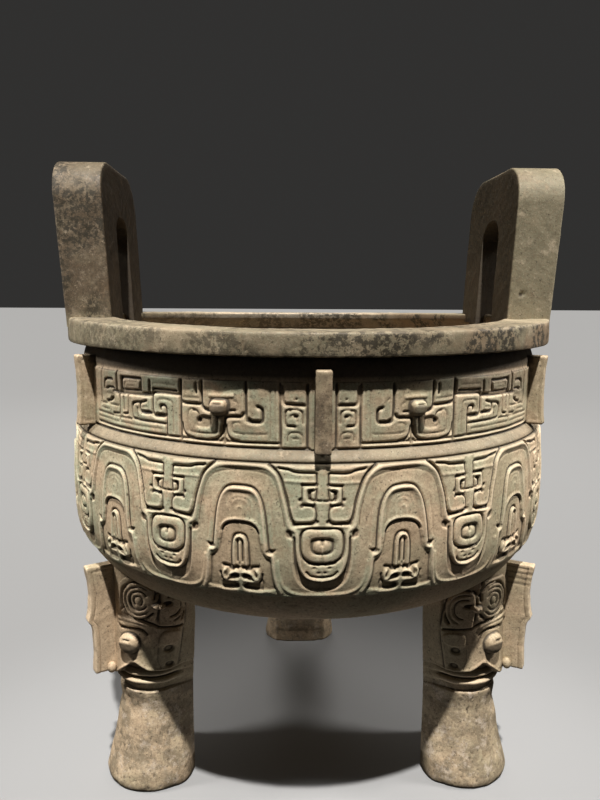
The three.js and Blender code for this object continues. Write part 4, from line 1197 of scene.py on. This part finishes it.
def bronze_material():
    material = bpy.data.materials.new("aged_bronze")
    material.use_nodes = True
    nodes = material.node_tree.nodes
    links = material.node_tree.links
    shader = nodes["Principled BSDF"]
    place = nodes.new("ShaderNodeTexCoord")
    opened = nodes.new("ShaderNodeAttribute")
    opened.attribute_name = "open"
    height_mark = nodes.new("ShaderNodeAttribute")
    height_mark.attribute_name = "raised"

    def noise(scale, detail=4.0, rough=0.6, stretch=None):
        node = nodes.new("ShaderNodeTexNoise")
        node.inputs["Scale"].default_value = scale
        node.inputs["Detail"].default_value = detail
        node.inputs["Roughness"].default_value = rough
        source = place.outputs["Object"]
        if stretch:
            mapping = nodes.new("ShaderNodeMapping")
            mapping.inputs["Scale"].default_value = stretch
            links.new(source, mapping.inputs["Vector"])
            source = mapping.outputs["Vector"]
        links.new(source, node.inputs["Vector"])
        return node.outputs["Fac"]

    def ramp(value, low, high, out_low=0.0, out_high=1.0):
        node = nodes.new("ShaderNodeMapRange")
        node.interpolation_type = "SMOOTHSTEP"
        node.inputs["From Min"].default_value = low
        node.inputs["From Max"].default_value = high
        node.inputs["To Min"].default_value = out_low
        node.inputs["To Max"].default_value = out_high
        links.new(value, node.inputs["Value"])
        return node.outputs["Result"]

    def mix(share, base, top):
        node = nodes.new("ShaderNodeMix")
        node.data_type = "RGBA"
        for socket, value in ((0, share), (6, base), (7, top)):
            if isinstance(value, (tuple, float)):
                node.inputs[socket].default_value = value
            else:
                links.new(value, node.inputs[socket])
        return node.outputs[2]

    def math_node(kind, first, second):
        node = nodes.new("ShaderNodeMath")
        node.operation = kind
        for socket, value in ((0, first), (1, second)):
            if isinstance(value, float):
                node.inputs[socket].default_value = value
            else:
                links.new(value, node.inputs[socket])
        return node.outputs[0]

    tan = (0.525, 0.392, 0.256, 1)
    olive = (0.38, 0.32, 0.205, 1)
    green = (0.355, 0.395, 0.27, 1)
    pale = (0.72, 0.58, 0.41, 1)
    # dirt_and_shade: the dark of real specks and dirt, also used for painted shade in hollows and under the rim
    dirt_and_shade = (0.05, 0.038, 0.026, 1)
    brown = (0.19, 0.13, 0.078, 1)
    stone = (0.185, 0.168, 0.108, 1)
    umber = (0.075, 0.055, 0.035, 1)
    ash = (0.56, 0.48, 0.40, 1)

    where = nodes.new("ShaderNodeSeparateXYZ")
    links.new(place.outputs["Object"], where.inputs[0])
    x, y, z = where.outputs["X"], where.outputs["Y"], where.outputs["Z"]

    colour = mix(ramp(noise(9.0), 0.38, 0.62), tan, olive)
    raised = ramp(height_mark.outputs["Fac"], 1.2, 3.4, 0.0, 0.75)
    green_share = math_node("MULTIPLY", ramp(noise(14.0, 7.0, 0.7), 0.43, 0.55), raised)
    green_share = math_node("MULTIPLY", green_share, ramp(x, 0.2, -0.12, 0.55, 1.0))
    colour = mix(green_share, colour, green)
    # greyer, darker metal from the rim up, and a stained left ear
    above = ramp(z, 0.655, 0.668, 0.0, 0.95)
    colour = mix(above, colour, stone)
    colour = mix(math_node("MULTIPLY", above, ramp(noise(7.0, 5.0), 0.45, 0.62, 0.0, 0.35)), colour, tan)
    ear_left = math_node("MULTIPLY", ramp(z, 0.69, 0.72), ramp(x, -0.26, -0.28))
    ear_left = math_node("MULTIPLY", ear_left, ramp(noise(16.0, 10.0, 0.75), 0.4, 0.56, 0.66, 0.97))
    colour = mix(ear_left, colour, umber)
    fillet = math_node("MULTIPLY", ramp(z, 0.541, 0.543, 0.0, 0.85), ramp(z, 0.5605, 0.5575))
    fillet = math_node("MULTIPLY", fillet, ramp(noise(30.0, 6.0), 0.35, 0.6, 0.7, 1.0))
    colour = mix(fillet, colour, (0.12, 0.105, 0.07, 1))
    radius = math_node("ADD", math_node("MULTIPLY", x, x), math_node("MULTIPLY", y, y))
    # Painted shade inside the bowl, darker further down
    inside = math_node("MULTIPLY", ramp(radius, 0.1245, 0.1235), ramp(z, 0.35, 0.55, 0.0, 0.8))
    inside = math_node("MULTIPLY", inside, ramp(z, 0.7, 0.695))
    colour = mix(inside, colour, (0.15, 0.135, 0.112, 1))
    # Painted shadow: the neck dark just under the rim
    painted_rim_shadow = math_node("MULTIPLY", ramp(z, 0.6395, 0.646, 0.0, 0.85), ramp(z, 0.6695, 0.6685))
    painted_rim_shadow = math_node("MULTIPLY", painted_rim_shadow, ramp(radius, 0.135, 0.131))
    # Painted highlight: the top of the far rim lighter, as if catching the light
    painted_far_rim_highlight = math_node("MULTIPLY", ramp(y, 0.2, 0.3, 0.0, 0.7), ramp(z, 0.6962, 0.6972))
    colour = mix(math_node("MULTIPLY", painted_far_rim_highlight, ramp(z, 0.72, 0.71)), colour, pale)
    front = math_node("MULTIPLY", ramp(y, -0.357, -0.362, 0.0, 0.95), ramp(z, 0.552, 0.56))
    front = math_node("MULTIPLY", front, ramp(z, 0.638, 0.616, 0.3, 1.0))
    front = math_node("MULTIPLY", front, ramp(noise(60.0, 8.0, 0.75), 0.42, 0.56, 0.5, 1.0))
    colour = mix(front, colour, umber)
    hoof = ramp(z, 0.158, 0.15, 0.0, 0.95)
    patches = ramp(noise(38.0, 10.0, 0.78), 0.43, 0.57, 0.2, 1.0)
    colour = mix(math_node("MULTIPLY", hoof, patches), colour, (0.2, 0.162, 0.108, 1))
    chalk = math_node("MULTIPLY", hoof, ramp(noise(46.0, 10.0, 0.8), 0.53, 0.6, 0.0, 0.5))
    colour = mix(chalk, colour, ash)
    colour = mix(ramp(noise(60.0, 8.0, 0.7), 0.52, 0.74, 0.0, 0.4), colour, pale)
    colour = mix(ramp(noise(26.0, 7.0, 0.7), 0.56, 0.7, 0.0, 0.55), colour, brown)
    mottle = ramp(noise(330.0, 4.0, 0.75), 0.35, 0.68, 0.0, 0.5)
    colour = mix(mottle, colour, brown)
    fleck = ramp(noise(500.0, 3.0, 0.7), 0.6, 0.7, 0.0, 0.35)
    colour = mix(fleck, colour, pale)
    speck = ramp(noise(260.0, 3.0, 0.7), 0.59, 0.69, 0.0, 0.75)
    colour = mix(speck, colour, dirt_and_shade)
    on_rim = math_node("MULTIPLY", ramp(z, 0.704, 0.699), ramp(x, 0.2, -0.3, 1.0, 0.45))
    on_ears = math_node("MULTIPLY", ramp(z, 0.699, 0.704), ramp(x, -0.2, 0.2, 0.9, 0.08))
    stained = math_node("ADD", math_node("MULTIPLY", above, math_node("ADD", on_rim, on_ears)), 0.12)
    rim_right = math_node("MULTIPLY", ramp(x, 0.06, 0.24, 0.0, 0.9), ramp(z, 0.704, 0.699))
    rim_right = math_node("MULTIPLY", math_node("MULTIPLY", rim_right, above), ramp(noise(16.0, 5.0), 0.34, 0.54))
    colour = mix(rim_right, colour, brown)
    stain = math_node("MULTIPLY", stained, ramp(noise(110.0, 9.0, 0.78), 0.46, 0.53))
    stain = math_node("MULTIPLY", stain, ramp(noise(10.0, 2.0), 0.42, 0.52, 0.12, 1.0))
    colour = mix(stain, colour, (0.042, 0.034, 0.022, 1))
    # Darker where the open mark is negative: dirt and painted shade in the hollows of the relief, and painted shade
    # on the ears, eyes and creases where the mark was set for it
    hollow_dirt_and_shade = ramp(opened.outputs["Fac"], -0.15, -1.3, 0.0, 0.92)
    colour = mix(hollow_dirt_and_shade, colour, dirt_and_shade)
    worn = ramp(opened.outputs["Fac"], 0.3, 1.2, 0.0, 0.45)
    colour = mix(worn, colour, pale)
    colour = mix(painted_rim_shadow, colour, dirt_and_shade)
    links.new(colour, shader.inputs["Base Color"])

    shader.inputs["Metallic"].default_value = 0.1
    shader.inputs["Specular IOR Level"].default_value = 0.3
    rough = ramp(noise(60.0, 5.0), 0.3, 0.7, 0.5, 0.75)
    links.new(rough, shader.inputs["Roughness"])

    grain = noise(700.0, 4.0, 0.6)
    lumps = noise(120.0, 4.0, 0.6)
    height = math_node("ADD", math_node("MULTIPLY", grain, 0.35), lumps)
    bump = nodes.new("ShaderNodeBump")
    bump.inputs["Strength"].default_value = 0.55
    bump.inputs["Distance"].default_value = 0.0012
    links.new(height, bump.inputs["Height"])
    links.new(bump.outputs["Normal"], shader.inputs["Normal"])
    return material


WAVES = wave_relief()
MASKS = neck_relief()
MASK_LEGS = leg_relief()
bronze = bronze_material()
make_camera()
make_floor()
make_light()
core(bronze)
belly_sector("wave_band_front", -60, 60, 1.26, 1.26, bronze)
belly_sector("wave_band_left", 180, 300, 1.8, 1.8, bronze)
belly_sector("wave_band_right", 60, 180, 1.8, 1.8, bronze)
neck_band(bronze)
piece("neck_flanges", [neck_flange(a, 40 + k) for k, a in enumerate(FLANGE_ANGLES)], bronze)
piece("ear_right", [ear(1, 21)], bronze)
piece("ear_left", [ear(-1, 22)], bronze)


def whole_leg(name, angle, flange_angle, drop, step, seed, nudge, ribs, material):
    knobs = [knob(flange_angle, drop, side) for side in (-1, 1)]
    parts = [leg(angle, drop, step, seed, nudge), leg_flange(flange_angle, drop, seed + 3, ribs), *knobs]
    return piece(name, parts, material)


whole_leg("leg_right", 58, 60.5, 5, 1.4, 31, (-5.5, -13.0), True, bronze)
whole_leg("leg_left", 300, 300, 0, 1.4, 32, (3.4, 8.5), False, bronze)
whole_leg("leg_back", 180, 180, 0, 2.4, 33, (0, 0), False, bronze)
